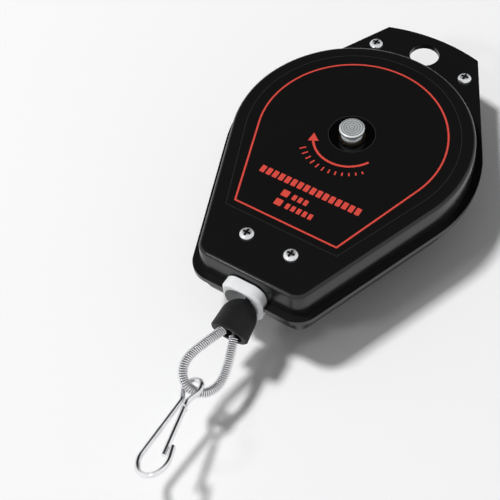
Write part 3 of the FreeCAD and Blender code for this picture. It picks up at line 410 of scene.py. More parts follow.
@dataclass(frozen=True)
class Paint:
    """Stoved paint or printed film: an even tone with a fine ripple and the odd rub, and, where
    asked, painted shade in the dish round the shaft.
    """

    name: str
    colour: Colour
    roughness: float = 0.3
    ripple: float = 0.05
    specular: float = 0.4
    # Painted shade in the dish round the shaft: how far out it reaches, where its fade starts, and
    # how dark it is painted.
    dish_shade_radius: float = 0.0
    dish_shade_fade: float = 0.97
    dish_shade_tone: float = 0.12

    def made(self) -> bpy.types.Material:
        """Build the material.

        Returns:
            The material.
        """
        weave = Weave(self.name)
        pale = tuple(c * 1.12 + 0.0003 for c in self.colour)
        if self.dish_shade_radius:
            self.paint_dish_shade(weave, pale)
        else:
            weave.tint(weave.spread(weave.noise(2600, 2), 0, 1), self.colour, pale)
        fine = weave.spread(weave.noise(1900, 3), -0.02, 0.02)
        smooth, rough = self.roughness - 0.015, self.roughness + 0.03
        rubbed = weave.spread(weave.noise(45, 5, 0.6), smooth, rough)
        total = weave.node("Math", {0: fine, 1: rubbed}, operation="ADD")
        weave.feed("Roughness", total.outputs[0])
        weave.plain(Specular_IOR_Level=self.specular)
        weave.relief([(weave.noise(1100, 2), self.ripple, 0.00012)])
        return weave.material

    def paint_dish_shade(self, weave: Weave, pale: Colour) -> None:
        """Paint shade into the dish round the shaft, as far out as the dish radius reaches.

        Args:
            weave: the material under construction.
            pale: the paint's colour outside the dish.
        """
        parts = weave.node("SeparateXYZ", {"Vector": weave.where})
        down = weave.node("Math", {0: parts.outputs["Z"], 1: -SHAFT_Z}, operation="ADD")
        plane = weave.node("CombineXYZ", {"X": parts.outputs["X"], "Z": down.outputs[0]})
        reach = weave.node("VectorMath", {0: plane.outputs["Vector"]}, operation="LENGTH")
        inputs = {"From Min": self.dish_shade_radius * self.dish_shade_fade, "From Max": self.dish_shade_radius}
        outside = weave.node("MapRange", {"Value": reach.outputs["Value"], **inputs})
        # Painted shade: inside the dish the paint is painted far darker than outside it.
        shaded = tuple(c * self.dish_shade_tone for c in self.colour)
        weave.tint(outside.outputs["Result"], shaded, pale)


@dataclass(frozen=True)
class Metal:
    """Bare or plated metal with fine handling marks."""

    name: str
    colour: Colour
    roughness: float = 0.25
    grain: float = 1500
    marks: float = 0.1
    metallic: float = 1.0

    def made(self) -> bpy.types.Material:
        """Build the material.

        Returns:
            The material.
        """
        weave = Weave(self.name)
        weave.plain(Metallic=self.metallic)
        dark = tuple(c * 0.82 for c in self.colour)
        weave.tint(weave.spread(weave.noise(220, 4), 0, 1), dark, self.colour)
        smooth, rough = self.roughness * 0.75, self.roughness * 1.3
        weave.feed("Roughness", weave.spread(weave.noise(500, 3), smooth, rough))
        weave.relief([(weave.noise(self.grain, 3), self.marks, 0.0001)])
        return weave.material


@dataclass(frozen=True)
class TurnedMetal:
    """Metal with the concentric marks of a lathe round an axis along Y."""

    name: str
    colour: Colour
    centre: Place
    pitch: float = 0.3 * MM
    roughness: float = 0.3
    metallic: float = 1.0

    def made(self) -> bpy.types.Material:
        """Build the material.

        Returns:
            The material.
        """
        weave = Weave(self.name)
        weave.plain(Metallic=self.metallic)
        shift = tuple(-c for c in self.centre)
        moved = weave.node("Mapping", {"Vector": weave.where, "Location": shift})
        # A wave texture at scale 1 has 20 radians to the metre.
        scale = math.tau / (self.pitch * 20)
        inputs = {"Vector": moved.outputs["Vector"], "Scale": scale, "Distortion": 0.9}
        inputs.update({"Detail": 2, "Detail Scale": 2})
        rings = weave.node("TexWave", inputs, wave_type="RINGS", rings_direction="Y")
        dark = tuple(c * 0.5 for c in self.colour)
        weave.tint(rings.outputs["Fac"], dark, self.colour)
        smooth, rough = self.roughness * 0.8, self.roughness * 1.25
        weave.feed("Roughness", weave.spread(weave.noise(400, 3), smooth, rough))
        grain = weave.noise(2500, 3)
        weave.relief([(rings.outputs["Fac"], 0.35, 0.00006), (grain, 0.1, 0.00005)])
        return weave.material


@dataclass(frozen=True)
class Moulded:
    """Moulded plastic or rubber."""

    name: str
    colour: Colour
    roughness: float = 0.4
    grain: float = 1800
    relief: float = 0.08
    glow: float = 0.0
    specular: float = 0.5

    def made(self) -> bpy.types.Material:
        """Build the material.

        Returns:
            The material.
        """
        weave = Weave(self.name)
        pale = tuple(min(1.0, c * 1.12 + 0.002) for c in self.colour)
        weave.tint(weave.spread(weave.noise(90, 4), 0, 1), self.colour, pale)
        smooth, rough = self.roughness - 0.05, self.roughness + 0.07
        weave.feed("Roughness", weave.spread(weave.noise(260, 4), smooth, rough))
        weave.plain(Specular_IOR_Level=self.specular)
        if self.glow:
            weave.plain(Subsurface_Weight=self.glow, Subsurface_Scale=0.004)
            weave.shader.inputs["Subsurface Radius"].default_value = (1.0, 0.9, 0.8)
        weave.relief([(weave.noise(self.grain, 3), self.relief, 0.0001)])
        return weave.material


@dataclass(frozen=True)
class RopeWire:
    """Fine drawn wires laid along a strand, with painted shade in the grooves between them; reads
    the rope's own UV map.

    The slant is how many wires pass a line along the rope, to the metre.
    """

    name: str
    # A grey darker than bare galvanised wire: partly the wire's own tone, partly painted shade for
    # the rope seen in the guard coil's gaps.
    colour: Colour = (0.36, 0.36, 0.37)
    wires: int = 30
    slant: float = 220.0

    def made(self) -> bpy.types.Material:
        """Build the material.

        Returns:
            The material.
        """
        weave = Weave(self.name)
        weave.plain(Metallic=1.0)
        uv = weave.node("UVMap", uv_map="Lay").outputs["UV"]
        parts = weave.node("SeparateXYZ", {"Vector": uv})
        x, y = parts.outputs["X"], parts.outputs["Y"]
        along = weave.node("Math", {0: x, 1: self.slant}, operation="MULTIPLY")
        around = weave.node("Math", {0: y, 1: float(self.wires)}, operation="MULTIPLY")
        phase = weave.node("Math", {0: along.outputs[0], 1: around.outputs[0]}, operation="ADD")
        turn = weave.node("Math", {0: phase.outputs[0], 1: math.tau}, operation="MULTIPLY")
        wave = weave.node("Math", {0: turn.outputs[0]}, operation="SINE")
        span = {"From Min": -1.0, "From Max": 1.0}
        height = weave.node("MapRange", {"Value": wave.outputs[0], **span})
        # Painted shade: the grooves between the wires are tinted far darker than the wire tops.
        dark = tuple(c * 0.25 for c in self.colour)
        weave.tint(height.outputs["Result"], dark, self.colour)
        weave.feed("Roughness", weave.spread(weave.noise(800, 3), 0.24, 0.42))
        weave.relief([(height.outputs["Result"], 0.9, 0.0001)])
        return weave.material


class Finish(Enum):
    """Every finish on the balancer."""

    # The case paint carries painted shade in the dish round the shaft, out to DISH_RADIUS.
    CASE = Paint("black_enamel", (0.0062, 0.0062, 0.0064), 0.19, 0.025, 0.42, DISH_RADIUS)
    LABEL = Paint("label_film", (0.0045, 0.0043, 0.0043), 0.36, 0.02, 0.3)
    # A grey laid along the label's cut edges as a painted highlight.
    LABEL_EDGE = Paint("label_edge_highlight", (0.030, 0.030, 0.031), 0.45, 0.03, 0.3)
    INK = Paint("red_print", (0.66, 0.070, 0.052), 0.5, 0.03, 0.2)
    ZINC = Metal("bright_zinc", (0.84, 0.85, 0.87), 0.2, 1500, 0.06, 0.72)
    # Painted shade for the walls and floor of the screws' cross slots.
    RECESS = Metal("slot_painted_shade", (0.055, 0.055, 0.058), 0.5, 1200, 0.3)
    STEEL = Metal("mild_steel", (0.56, 0.57, 0.58), 0.34)
    SPRING = Metal("blued_spring_steel", (0.24, 0.26, 0.31), 0.3)
    # Painted shade: the bronze is painted near black, so the front bush reads as the dark ring
    # round the shaft.
    BRONZE = Metal("bronze_painted_shade", (0.075, 0.055, 0.035), 0.45, 1200, 0.2)
    ALLOY = Metal("cast_alloy", (0.66, 0.67, 0.68), 0.42, 900, 0.3)
    CHROME = Metal("bright_chrome", (0.88, 0.88, 0.90), 0.07, 2500, 0.03)
    COIL = Metal("guard_wire", (0.86, 0.86, 0.88), 0.12, 2500, 0.03)
    SHAFT = TurnedMetal(
        "turned_shaft_end", (0.86, 0.90, 0.915), (0, 0, SHAFT_Z), 1.1 * MM, 0.42, 0.55
    )
    NYLON = Moulded("white_nylon", (0.80, 0.81, 0.82), 0.36, 1400, 0.05, 0.12)
    RUBBER = Moulded("black_rubber", (0.0085, 0.0085, 0.009), 0.55, 2600, 0.12, 0.0, 0.22)
    ROPE = RopeWire("stranded_wire")


class Shop:
    """Makes each finish once, when it is first asked for, and dresses pieces."""

    _made: dict[Finish, bpy.types.Material] = {}

    @classmethod
    def get(cls, finish: Finish) -> bpy.types.Material:
        """The material for a finish.

        Args:
            finish: which finish.

        Returns:
            The material.
        """
        if finish not in cls._made:
            cls._made[finish] = finish.value.made()
        return cls._made[finish]

    @classmethod
    def dress(cls, piece: bpy.types.Object, finish: Finish) -> None:
        """Give a piece one finish all over.

        Args:
            piece: the object.
            finish: which finish.
        """
        piece.data.materials.clear()
        piece.data.materials.append(cls.get(finish))


def install(
    piece: bpy.types.Object, body: Body, finish: Finish, slot: str, *nodes: str
) -> bpy.types.Object:
    """Dress a finished piece, put it on its body and hide the frame nodes that it replaces.

    Args:
        piece: the finished mesh.
        body: the body that it rides on.
        finish: what it is dressed in.
        slot: not used.
        *nodes: frame nodes that it replaces.

    Returns:
        The piece.
    """
    Shop.dress(piece, finish)
    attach(piece, body.value)
    if nodes:
        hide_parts(*nodes)
    LOG.info("%s rides on %s", piece.name, body.value)
    return piece


# ---------------------------------------------------------------- case


@dataclass
class Case:
    """The two pressed covers, the label sheet, what is printed on it, and the painted highlights
    along its cut edges.
    """

    face_y: float = -13 * MM
    film: float = 0.2 * MM
    ink: float = 0.03 * MM
    line_radius: float = 39.5 * MM
    line_corner: tuple[float, float] = (23.4 * MM, -52.6 * MM)
    line_width: float = 0.75 * MM
    edge_radius: float = 44.52 * MM
    edge_corner: tuple[float, float] = (25.4 * MM, -55.75 * MM)
    edge_width: float = 0.2 * MM
    arrow_centre: tuple[float, float] = (0.3 * MM, -2.6 * MM)
    arrow_radius: float = 14.8 * MM
    arrow_width: float = 0.95 * MM
    arrow_arc: tuple[float, float] = (214.0, 331.0)
    arrow_head: tuple[float, float] = (4.3 * MM, 4.4 * MM)
    scale_radius: float = 18.1 * MM
    scale_arc: tuple[float, float] = (224.0, 316.0)
    scale_ticks: int = 12
    tick_short: float = 1.3 * MM
    tick_growth: float = 1.5 * MM
    tick_width: float = 0.62 * MM
    bar_height: float = -33.4 * MM
    bar_half: float = 23.3 * MM
    bar_depth: float = 3.5 * MM
    bar_blocks: int = 16
    bar_share: float = 0.72
    box_side: float = 3.2 * MM
    box_rows: tuple[tuple[float, float, int], ...] = (
        (-7.4 * MM, -39.7 * MM, 3),
        (-7.6 * MM, -44.7 * MM, 5),
    )
    mark_start: float = 4.2 * MM
    mark_pitch: float = 2.6 * MM
    mark_size: tuple[float, float] = (1.7 * MM, 2.7 * MM)
    mark_drop: float = 0.1 * MM

    def build(self) -> None:
        """Make the covers, the label, the print and the painted highlights along the label's cut
        edges.
        """
        for node in ("front_cover", "rear_cover"):
            cover = Bench.from_frame(node, node + "_shell")
            install(cover, Body.HOUSING, Finish.CASE, "black_case", node)
        film = Bench.from_frame("front_label", "label_sheet")
        install(film, Body.HOUSING, Finish.LABEL, "label", "front_label")
        line = (self.line_radius, self.line_corner, self.line_width)
        self.border("label_border", *line, Finish.INK)
        # A thin grey line along the label's outer cut edge, as a painted highlight.
        edge = (self.edge_radius, self.edge_corner, self.edge_width)
        self.border("label_rim", *edge, Finish.LABEL_EDGE)
        self.hole_rim()
        self.arrow()
        self.scale()
        self.bar()
        self.boxes()

    def border(
        self, name: str, radius: float, corner: tuple[float, float], width: float, finish: Finish
    ) -> None:
        """A closed line on the label, printed in ink or laid as a painted highlight: a circle whose
        lower part runs out in tangents to two corners.

        Args:
            name: the piece's name.
            radius: outer radius of the line's round part.
            corner: the right-hand corner from the shaft, across and up.
            width: the line's width.
            finish: its ink, or the finish of a painted highlight.
        """
        reach = math.hypot(*corner)
        lean = math.atan2(corner[1], corner[0]) + math.acos(radius / reach)
        Bench.clear()
        bpy.ops.mesh.primitive_circle_add(vertices=360, radius=radius, fill_type="NOTHING")
        piece = Bench.started(name)
        slack = radius * 0.004
        limit = radius * math.sin(lean) + slack
        Bench.pick(piece, Element.VERTEX, lambda place: place.y < limit)
        bpy.ops.mesh.delete(type="VERT")
        Bench.leave()
        for side in (1, -1):
            ends = sorted((v.co for v in piece.data.vertices), key=lambda p: (p.y, -side * p.x))
            end = next(p for p in ends if p.x * side > 0)
            Bench.pick(piece, Element.VERTEX, lambda place: (place - end).length < 1e-7)
            move = (side * corner[0] - end.x, corner[1] - end.y, 0)
            bpy.ops.mesh.extrude_vertices_move(TRANSFORM_OT_translate={"value": move})
            Bench.leave()
        low = corner[1] + 1e-6
        Bench.pick(piece, Element.VERTEX, lambda place: place.y < low)
        bpy.ops.mesh.edge_face_add()
        bpy.ops.mesh.select_all(action="SELECT")
        bpy.ops.mesh.edge_face_add()
        bpy.ops.mesh.inset(thickness=width, use_even_offset=True)
        bpy.ops.mesh.delete(type="FACE")
        self.lay(piece, finish)

    def lay(self, piece: bpy.types.Object, finish: Finish = Finish.INK) -> None:
        """Thicken a flat print or painted highlight line and lay it on the label, facing forwards.

        Args:
            piece: a flat mesh in its own XY plane, about the shaft.
            finish: its ink, or the finish of a painted highlight.
        """
        Bench.outward(piece)
        thick = piece.modifiers.new("Ink", "SOLIDIFY")
        thick.thickness, thick.offset = self.ink, 0
        bpy.ops.object.modifier_apply(modifier=thick.name)
        piece.rotation_euler = (math.radians(90), 0, 0)
        piece.location = (0, self.face_y - self.film - self.ink / 2, SHAFT_Z)
        Bench.settle(piece)
        Bench.outward(piece)
        install(piece, Body.HOUSING, finish, "label")

    @staticmethod
    def ring(
        name: str, radius: float, width: float, steps: int, centre: Sequence[float] = (0.0, 0.0)
    ) -> bpy.types.Object:
        """A flat ring in its own XY plane.

        Args:
            name: the piece's name.
            radius: its outer radius.
            width: how wide the ring is.
            steps: how many sides it has.
            centre: its centre, across and up.

        Returns:
            The ring.
        """
        Bench.clear()
        bpy.ops.mesh.primitive_circle_add(
            vertices=steps, radius=radius, fill_type="NGON", location=(*centre, 0)
        )
        made = Bench.started(name)
        Bench.apply_place(made)
        Bench.pick(made, Element.FACE)
        bpy.ops.mesh.inset(thickness=width, use_even_offset=True)
        bpy.ops.mesh.delete(type="FACE")
        Bench.leave()
        return made

    def hole_rim(self) -> None:
        """A painted highlight along the cut edge of the label's hole, round the dish."""
        outer = DISH_RADIUS + self.edge_width
        self.lay(self.ring("label_hole_rim", outer, self.edge_width, 180), Finish.LABEL_EDGE)

    def arrow(self) -> None:
        """The turning arrow under the shaft: a bowed line with its head at the left."""
        radius, outer = self.arrow_radius, self.arrow_radius + self.arrow_width / 2
        bow = self.ring("arrow_bow", outer, self.arrow_width, 360, self.arrow_centre)
        first, last = (math.radians(turn) for turn in self.arrow_arc)
        middle = Vector((*self.arrow_centre, 0))

        def outside(place: Vector) -> bool:
            """Tell whether a face of the ring isn't part of the arrow.

            Args:
                place: the face's middle.

            Returns:
                True outside the arrow's arc.
            """
            turn = math.atan2(place.y - middle.y, place.x - middle.x) % math.tau
            return not first < turn < last

        Bench.pick(bow, Element.FACE, outside)
        bpy.ops.mesh.delete(type="FACE")
        length, width = self.arrow_head
        foot = middle + Vector((math.cos(first), math.sin(first), 0)) * radius
        lean = first - length / radius / 2
        along = Vector((math.sin(lean), -math.cos(lean), 0))
        across = Vector((-along.y, along.x, 0)) * width / 2
        corners = (foot + along * length, foot + across, foot - across)
        Bench.clear()
        bpy.ops.mesh.primitive_circle_add(vertices=3, radius=1, fill_type="NGON")
        head = Bench.started("arrow_head")
        for vertex, place in zip(head.data.vertices, corners):
            vertex.co = place
        self.lay(Bench.joined([bow, head], "tension_arrow"))

    @staticmethod
    def plate(
        x: float, y: float, width: float, height: float, turn: float = 0.0
    ) -> bpy.types.Object:
        """A flat printed block in its own XY plane, about the shaft.

        Args:
            x: its centre across.
            y: its centre up.
            width: its width.
            height: its height.
            turn: how far it is turned, in degrees.

        Returns:
            The block, with its corners taken off by a hair.
        """
        Bench.clear()
        bpy.ops.mesh.primitive_plane_add(size=1)
        block = Bench.started("block")
        block.scale = (width, height, 1)
        Bench.apply_place(block)
        Bench.pick(block, Element.VERTEX)
        hair = min(width, height) * 0.12
        bpy.ops.mesh.bevel(affect="VERTICES", offset=hair, segments=2)
        Bench.leave()
        block.rotation_euler = (0, 0, math.radians(turn))
        block.location = (x, y, 0)
        Bench.apply_place(block)
        return block

    def scale(self) -> None:
        """A plain scale under the arrow, whose ticks grow towards its head."""
        first, last = self.scale_arc
        ticks = []
        for step in range(self.scale_ticks):
            share = step / (self.scale_ticks - 1)
            turn = math.radians(last + (first - last) * share)
            length = self.tick_short + self.tick_growth * share
            reach = self.scale_radius + length / 2
            x = self.arrow_centre[0] + math.cos(turn) * reach
            y = self.arrow_centre[1] + math.sin(turn) * reach
            ticks.append(self.plate(x, y, length, self.tick_width, math.degrees(turn)))
        self.lay(Bench.joined(ticks, "tension_scale"))

    def bar(self) -> None:
        """A plain bar across the label, made of equal blocks."""
        pitch = 2 * self.bar_half / self.bar_blocks
        blocks = []
        for step in range(self.bar_blocks):
            x = -self.bar_half + (step + 0.5) * pitch
            blocks.append(self.plate(x, self.bar_height, pitch * self.bar_share, self.bar_depth))
        self.lay(Bench.joined(blocks, "load_bar"))

    def boxes(self) -> None:
        """Two tick boxes with a row of plain blocks beside each."""
        made = []
        for x, y, count in self.box_rows:
            made.append(self.plate(x, y, self.box_side, self.box_side))
            for step in range(count):
                across = x + self.mark_start + self.mark_pitch * step
                made.append(self.plate(across, y - self.mark_drop, *self.mark_size))
        self.lay(Bench.joined(made, "load_marks"))


# ---------------------------------------------------------------- fasteners


@dataclass
class Fasteners:
    """Cross-recess screws through both covers, and their nuts behind."""

    head_radius: float = 2.9 * MM
    slot_half_width: float = 0.455 * MM
    slot_half_length: float = 1.75 * MM
    slot_depth: float = 1.0 * MM
    head_skin: float = 0.01 * MM

    def build(self) -> None:
        """Dress the nuts and the screws."""
        for node in ("lug_nuts", "foot_nuts"):
            nut = Bench.from_frame(node, node + "_hex")
            install(nut, Body.HOUSING, Finish.ZINC, "zinc", node)
        for node in ("lug_screws", "foot_screws"):
            screws = Bench.from_frame(node, node + "_cross")
            install(screws, Body.HOUSING, Finish.ZINC, "zinc", node)
            self.shade_slots(screws)

    def shade_slots(self, screws: bpy.types.Object) -> None:
        """Paint the inside of each cross slot dark, as painted shade.

        Args:
            screws: a pair of screws, one at each side of the middle.
        """
        places = [vertex.co for vertex in screws.data.vertices]
        heights = [place.z for place in places]
        reach = max(place.x for place in places) - self.head_radius
        height = (max(heights) + min(heights)) / 2
        front = min(place.y for place in places)

        def in_slot(place: Vector) -> bool:
            """Tell whether a face is one of a slot's walls or its floor.

            Args:
                place: the face's middle.

            Returns:
                True inside the cross and under the head's top.
            """
            across, up = abs(abs(place.x) - reach), abs(place.z - height)
            near, far = min(across, up), max(across, up)
            inside = near < self.slot_half_width and far < self.slot_half_length
            return inside and front + self.head_skin < place.y < front + self.slot_depth

        # The slot faces get the dark painted shade as a second material.
        screws.data.materials.append(Shop.get(Finish.RECESS))
        found = Bench.pick(screws, Element.FACE, in_slot)
        screws.active_material_index = 1
        bpy.ops.object.material_slot_assign()
        Bench.leave()
        LOG.info("%s: %d faces in the slots", screws.name, found)


# ---------------------------------------------------------------- inner works


class Works:
    """Shaft, drum, spring and ratchet: mostly shut in, and dressed all the same."""

    finishes: dict[str, Finish] = {
        "foot_spacers": Finish.STEEL,
        "spring_arbor": Finish.STEEL,
        "arbor_pin": Finish.STEEL,
        "front_bush": Finish.BRONZE,
        "rear_bush": Finish.BRONZE,
        "drum_bush": Finish.BRONZE,
        "rope_drum": Finish.ALLOY,
        "drum_cover": Finish.STEEL,
        "wound_rope": Finish.ALLOY,
        "rope_lead": Finish.ALLOY,
        "spiral_spring": Finish.SPRING,
        "ratchet_wheel": Finish.STEEL,
        "pawl": Finish.STEEL,
        "pawl_rivet": Finish.STEEL,
        "spring_peg": Finish.STEEL,
        "pawl_spring": Finish.SPRING,
        "shaft_clip": Finish.SPRING,
        "rope_ferrule": Finish.ALLOY,
    }

    def build(self) -> None:
        """Give each inner node its finish, and smooth the shaft."""
        for node, finish in self.finishes.items():
            Shop.dress(bpy.data.objects[node], finish)
            LOG.info("%s dressed as %s", node, finish.value.name)
        shaft = Bench.from_frame("centre_shaft", "turned_shaft")
        install(shaft, Body.ADJUSTER, Finish.SHAFT, "steel", "centre_shaft")


# ---------------------------------------------------------------- rope


@dataclass
class RopeEnd:
    """Guide, stopper, the rope's eye with its guard coil, and the run above it."""

    mouth: Place = (1.8 * MM, 0.0, -150.15 * MM)
    lean: float = 3.5
    tilt: float = 10.0
    yaw: float = 40.0
    diameter: float = 2.5 * MM
    length: float = 76.7 * MM
    strands: int = 6
    strand_faces: int = 8
    pitch: float = 13.0 * MM
    line_steps: int = 48
    run_top: float = 6.4 * MM
    run_low: float = -3.5 * MM
    run_steps: int = 480
    run_turns: int = 40
    guard_wire: float = 0.62 * MM
    guard_radius: float = 1.68 * MM
    guard_pitch: float = 0.84 * MM
    guard_start: float = -12.6 * MM
    guard_steps: int = 18
    guard_sides: int = 7
    route: tuple[tuple[float, float], ...] = (
        (-1.3, -6.5),
        (-1.3, -9.9),
        (-8.9, -25.5),
        (-10.2, -32.6),
        (-6.5, -38.8),
        (1.9, -38.8),
        (6.6, -33.0),
        (6.6, -25.4),
        (1.3, -9.9),
        (1.3, -6.5),
    )

    def place(self, yaw: float = 0.0) -> Matrix:
        """The rope's frame at the guide's mouth.

        Args:
            yaw: turn about the rope, in degrees.

        Returns:
            The frame's matrix.
        """
        lean = Matrix.Rotation(math.radians(-self.lean), 4, "Y")
        tilt = Matrix.Rotation(math.radians(self.tilt), 4, "X")
        turn = Matrix.Rotation(math.radians(yaw), 4, "Z")
        return Matrix.Translation(self.mouth) @ (lean @ tilt) @ turn

    def build(self) -> None:
        """Make the guide, the stopper, the eye and the run."""
        guide = Bench.from_frame("rope_guide", "nylon_guide")
        install(guide, Body.HOUSING, Finish.NYLON, "nylon", "rope_guide")
        stopper = Bench.from_frame("rope_stopper", "rubber_stopper")
        install(stopper, Body.ROPE_END, Finish.RUBBER, "rubber", "rope_stopper")
        self.eye(stopper)
        self.run()

    def lobed(self, name: str, line: Sequence[Vector], turns: float) -> bpy.types.Object:
        """Sweep a stranded section along a line.

        Args:
            name: the piece's name.
            line: points close together along the rope's centre.
            turns: how often the strands go round from end to end.

        Returns:
            A closed mesh with a UV map: along in metres, and round the strands.
        """
        around = self.strands * self.strand_faces
        radius = self.diameter / 2
        lobe = radius / (1 + 1 / math.sin(math.pi / self.strands))
        core = radius - lobe
        total = sum((b - a).length for a, b in zip(line, line[1:]))
        normal = Vector((0, 1, 0))
        vertices, lay, run = [], [], 0.0
        for index, point in enumerate(line):
            ahead = line[min(index + 1, len(line) - 1)] - line[max(index - 1, 0)]
            ahead.normalize()
            normal = (normal - ahead * normal.dot(ahead)).normalized()
            side = ahead.cross(normal)
            if index:
                run += (point - line[index - 1]).length
            twist = math.tau * turns * run / total
            for step in range(around):
                turn = math.tau * step / around
                off = (turn * self.strands / math.tau) % 1 - 0.5
                swing = off * math.tau / self.strands
                bulge = math.sqrt(max(lobe**2 - (core * math.sin(swing)) ** 2, 0))
                reach = core * math.cos(swing) + bulge
                angle = turn + twist
                out = normal * math.cos(angle) + side * math.sin(angle)
                vertices.append(point + out * reach)
            lay.append(run)
        piece = Bench.tube(name, vertices, around)
        mesh = piece.data
        uv = mesh.uv_layers.new(name="Lay")
        for face in mesh.polygons:
            seam = face.index % around == around - 1
            for corner in face.loop_indices:
                vertex = mesh.loops[corner].vertex_index
                step = vertex % around
                if seam and step == 0:
                    step = around
                uv.data[corner].uv = (lay[vertex // around], step / around)
        Bench.outward(piece)
        Bench.settle(piece, 50)
        return piece

    def eye(self, stopper: bpy.types.Object) -> None:
        """The rope's eye, swept along the line of a NURBS spline.

        Args:
            stopper: the buffer that the eye's ends go up into; not used.
        """
        frame = self.place(self.yaw)
        curve = bpy.data.curves.new("eye_line", "CURVE")
        curve.dimensions = "3D"
        curve.resolution_u = self.line_steps
        spline = curve.splines.new("NURBS")
        spline.points.add(len(self.route) - 1)
        for point, (across, up) in zip(spline.points, self.route):
            point.co = (*(frame @ Vector((across * MM, 0, up * MM))), 1)
        spline.order_u = 3
        spline.use_endpoint_u = True
        carrier = Bench.linked("eye_line", curve)
        bpy.context.view_layer.update()
        graph = bpy.context.evaluated_depsgraph_get()
        read = bpy.data.meshes.new_from_object(carrier.evaluated_get(graph))
        line = [v.co.copy() for v in read.vertices]
        bpy.data.objects.remove(carrier, do_unlink=True)
        total = sum((b - a).length for a, b in zip(line, line[1:]))
        LOG.info("the eye's line is %.1f mm", total / MM)
        piece = self.lobed("stranded_eye", line, total / self.pitch)
        install(piece, Body.ROPE_END, Finish.ROPE, "rope_steel", "rope_eye")
        guard = self.coil(line, frame)

    def coil(self, line: Sequence[Vector], frame: Matrix) -> bpy.types.Object:
        """The close-wound wire that guards the eye, from one leg of the rope round to the other.

        Args:
            line: points close together along the eye's centre.
            frame: the eye's frame.

        Returns:
            The coil.
        """
        back = frame.inverted()
        kept = [point for point in line if (back @ point).z < self.guard_start]
        normal = (frame.to_3x3() @ Vector((0, 1, 0))).normalized()
        around, section = self.guard_steps, self.guard_sides
        step_run = self.guard_pitch / around
        centres, run, target, phase = [], 0.0, 0.0, 0
        for first, last in zip(kept, kept[1:]):
            length = (last - first).length
            ahead = (last - first).normalized()
            side = ahead.cross(normal)
            while target <= run + length:
                turn = math.tau * phase / around
                out = normal * math.cos(turn) + side * math.sin(turn)
                centre = first + ahead * (target - run) + out * self.guard_radius
                centres.append((centre, out, ahead))
                phase += 1
                target += step_run
            run += length
        vertices = []
        radius = self.guard_wire / 2
        for centre, out, ahead in centres:
            for step in range(section):
                turn = math.tau * step / section
                vertices.append(centre + (out * math.cos(turn) + ahead * math.sin(turn)) * radius)
        piece = Bench.tube("guard_coil", vertices, section)
        Bench.outward(piece)
        Bench.settle(piece, 60)
        LOG.info("the guard has %d turns", len(centres) // around)
        return install(piece, Body.ROPE_END, Finish.COIL, "hook_chrome", "eye_guard")

    def run(self) -> None:
        """The rope between guide and ferrule, swept straight down from the guide's mouth."""
        frame = self.place()
        top, low = frame @ Vector((0, 0, self.run_top)), frame @ Vector((0, 0, self.run_low))
        line = [top.lerp(low, step / self.run_steps) for step in range(self.run_steps + 1)]
        piece = self.lobed("stranded_run", line, self.run_turns)
        Shop.dress(piece, Finish.ROPE)
        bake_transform(piece)
        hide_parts("rope_run")
        LOG.info("%s stretches along the pull", piece.name)


# ---------------------------------------------------------------- hook


class Hook:
    """The bent wire snap hook and its sprung side."""

    def build(self) -> None:
        """Smooth and plate the two wires."""
        wire = Bench.from_frame("snap_hook", "bent_hook", 40)
        install(wire, Body.HOOK, Finish.CHROME, "hook_chrome", "snap_hook")
        gate = Bench.from_frame("hook_gate", "sprung_gate", 40)
        install(gate, Body.GATE, Finish.CHROME, "hook_chrome", "hook_gate")


# ---------------------------------------------------------------- studio


@dataclass(frozen=True)
class Lamp:
    """One round area lamp, which bright metal may mirror or not."""

    name: str
    place: Place
    size: float
    power: float
    mirrored: bool = False
    aim: Place = (0.0, 0.0, -0.09)

    def hang(self) -> None:
        """Add the lamp."""
        data = bpy.data.lights.new(self.name, "AREA")
        data.shape, data.size, data.energy = "DISK", self.size, self.power
        lamp = Bench.linked(self.name, data)
        lamp.location = self.place
        lamp.visible_glossy = self.mirrored
        way = Vector(self.aim) - Vector(self.place)
        lamp.rotation_euler = way.to_track_quat("-Z", "Y").to_euler()


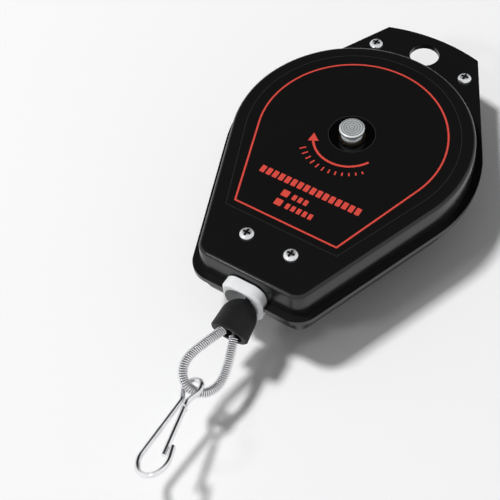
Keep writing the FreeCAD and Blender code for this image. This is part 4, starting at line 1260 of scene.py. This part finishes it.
@dataclass
class Studio:
    """Camera, pale backdrop, world and lamps."""

    eye: Place = (0.1436, -0.3544, -0.3215)
    turn: Place = (122.25, -32.78, 4.65)
    lens: float = 78.3
    sensor: float = 36.0
    clip: tuple[float, float] = (0.01, 20.0)
    wall_y: float = 0.027
    wall_size: float = 4.0
    wall_colour: Colour = (0.98, 0.98, 0.985)
    dark_way: Place = (-0.32, -0.76, 0.57)
    dark_edge: tuple[float, float] = (0.52, 0.95)
    dark_level: float = 0.02
    fill_level: float = 0.21
    lamps: tuple[Lamp, ...] = (
        Lamp("key", (-1.70, -3.82, -0.45), 0.66, 128),
        Lamp("edge", (-0.54, -0.90, -1.14), 0.22, 2.4, True),
        Lamp("behind", (0.4, 0.9, 0.5), 0.8, 6),
    )

    def build(self) -> None:
        """Set up everything that isn't the object."""
        scene = bpy.context.scene
        scene.view_settings.view_transform = "Standard"
        data = bpy.data.cameras.new("camera")
        data.lens, data.sensor_width = self.lens, self.sensor
        data.clip_start, data.clip_end = self.clip
        camera = Bench.linked("camera", data)
        camera.location = self.eye
        camera.rotation_euler = Euler([math.radians(a) for a in self.turn], "XYZ")
        scene.camera = camera
        self.backdrop()
        self.world()
        for lamp in self.lamps:
            lamp.hang()

    def backdrop(self) -> None:
        """A pale wall close behind, seen from its front side only."""
        Bench.clear()
        bpy.ops.mesh.primitive_plane_add(size=self.wall_size, location=(0, self.wall_y, 0))
        wall = Bench.started("backdrop")
        wall.rotation_euler = (math.radians(90), 0, 0)
        Bench.apply_place(wall)
        weave = Weave("pale_wall")
        weave.plain(Base_Color=(*self.wall_colour, 1), Roughness=0.9, Specular_IOR_Level=0.1)
        side = weave.node("NewGeometry").outputs["Backfacing"]
        clear = weave.node("BsdfTransparent")
        both = weave.node("MixShader", {0: side, 1: weave.shader.outputs[0], 2: clear.outputs[0]})
        output = weave.tree.nodes["Material Output"]
        weave.tree.links.new(both.outputs[0], output.inputs["Surface"])
        wall.data.materials.append(weave.material)

    def world(self) -> None:
        """White to the camera, softer as light, with a dark patch for flat faces to mirror."""
        world = bpy.data.worlds.new("studio")
        bpy.context.scene.world = world
        world.use_nodes = True
        tree = world.node_tree
        base = tree.nodes["Background"]
        base.inputs["Color"].default_value = (1, 1, 1, 1)
        rays = tree.nodes.new("ShaderNodeLightPath")
        way = tree.nodes.new("ShaderNodeTexCoord")
        facing = tree.nodes.new("ShaderNodeVectorMath")
        facing.operation = "DOT_PRODUCT"
        facing.inputs[1].default_value = Vector(self.dark_way).normalized()
        tree.links.new(way.outputs["Generated"], facing.inputs[0])
        fade = tree.nodes.new("ShaderNodeMapRange")
        fade.interpolation_type = "SMOOTHSTEP"
        low, high = self.dark_edge
        numbers = {"From Min": low, "From Max": high, "To Min": 1.0, "To Max": self.dark_level}
        for key, number in numbers.items():
            fade.inputs[key].default_value = number
        tree.links.new(facing.outputs["Value"], fade.inputs["Value"])

        def chosen(ray: str, no: Strength, yes: Strength) -> bpy.types.NodeSocket:
            """Choose between two strengths by the kind of ray.

            Args:
                ray: the light path's output for that kind.
                no: the strength for other rays.
                yes: the strength for that kind of ray.

            Returns:
                The strength.
            """
            made = tree.nodes.new("ShaderNodeMix")
            tree.links.new(rays.outputs[ray], made.inputs["Factor"])
            for key, source in (("A", no), ("B", yes)):
                if isinstance(source, float):
                    made.inputs[key].default_value = source
                else:
                    tree.links.new(source, made.inputs[key])
            return made.outputs["Result"]

        lit = chosen("Is Glossy Ray", self.fill_level, fade.outputs[0])
        seen = chosen("Is Transmission Ray", lit, 1.0)
        tree.links.new(chosen("Is Camera Ray", seen, 1.0), base.inputs["Strength"])


def main() -> None:
    """Load the frame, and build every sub-assembly in order."""
    logging.basicConfig(level=logging.INFO, format="%(message)s")
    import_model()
    Studio().build()
    Case().build()
    Fasteners().build()
    Works().build()
    Hook().build()
    RopeEnd().build()
    Bench.clear()


if __name__ == "__main__":
    main()
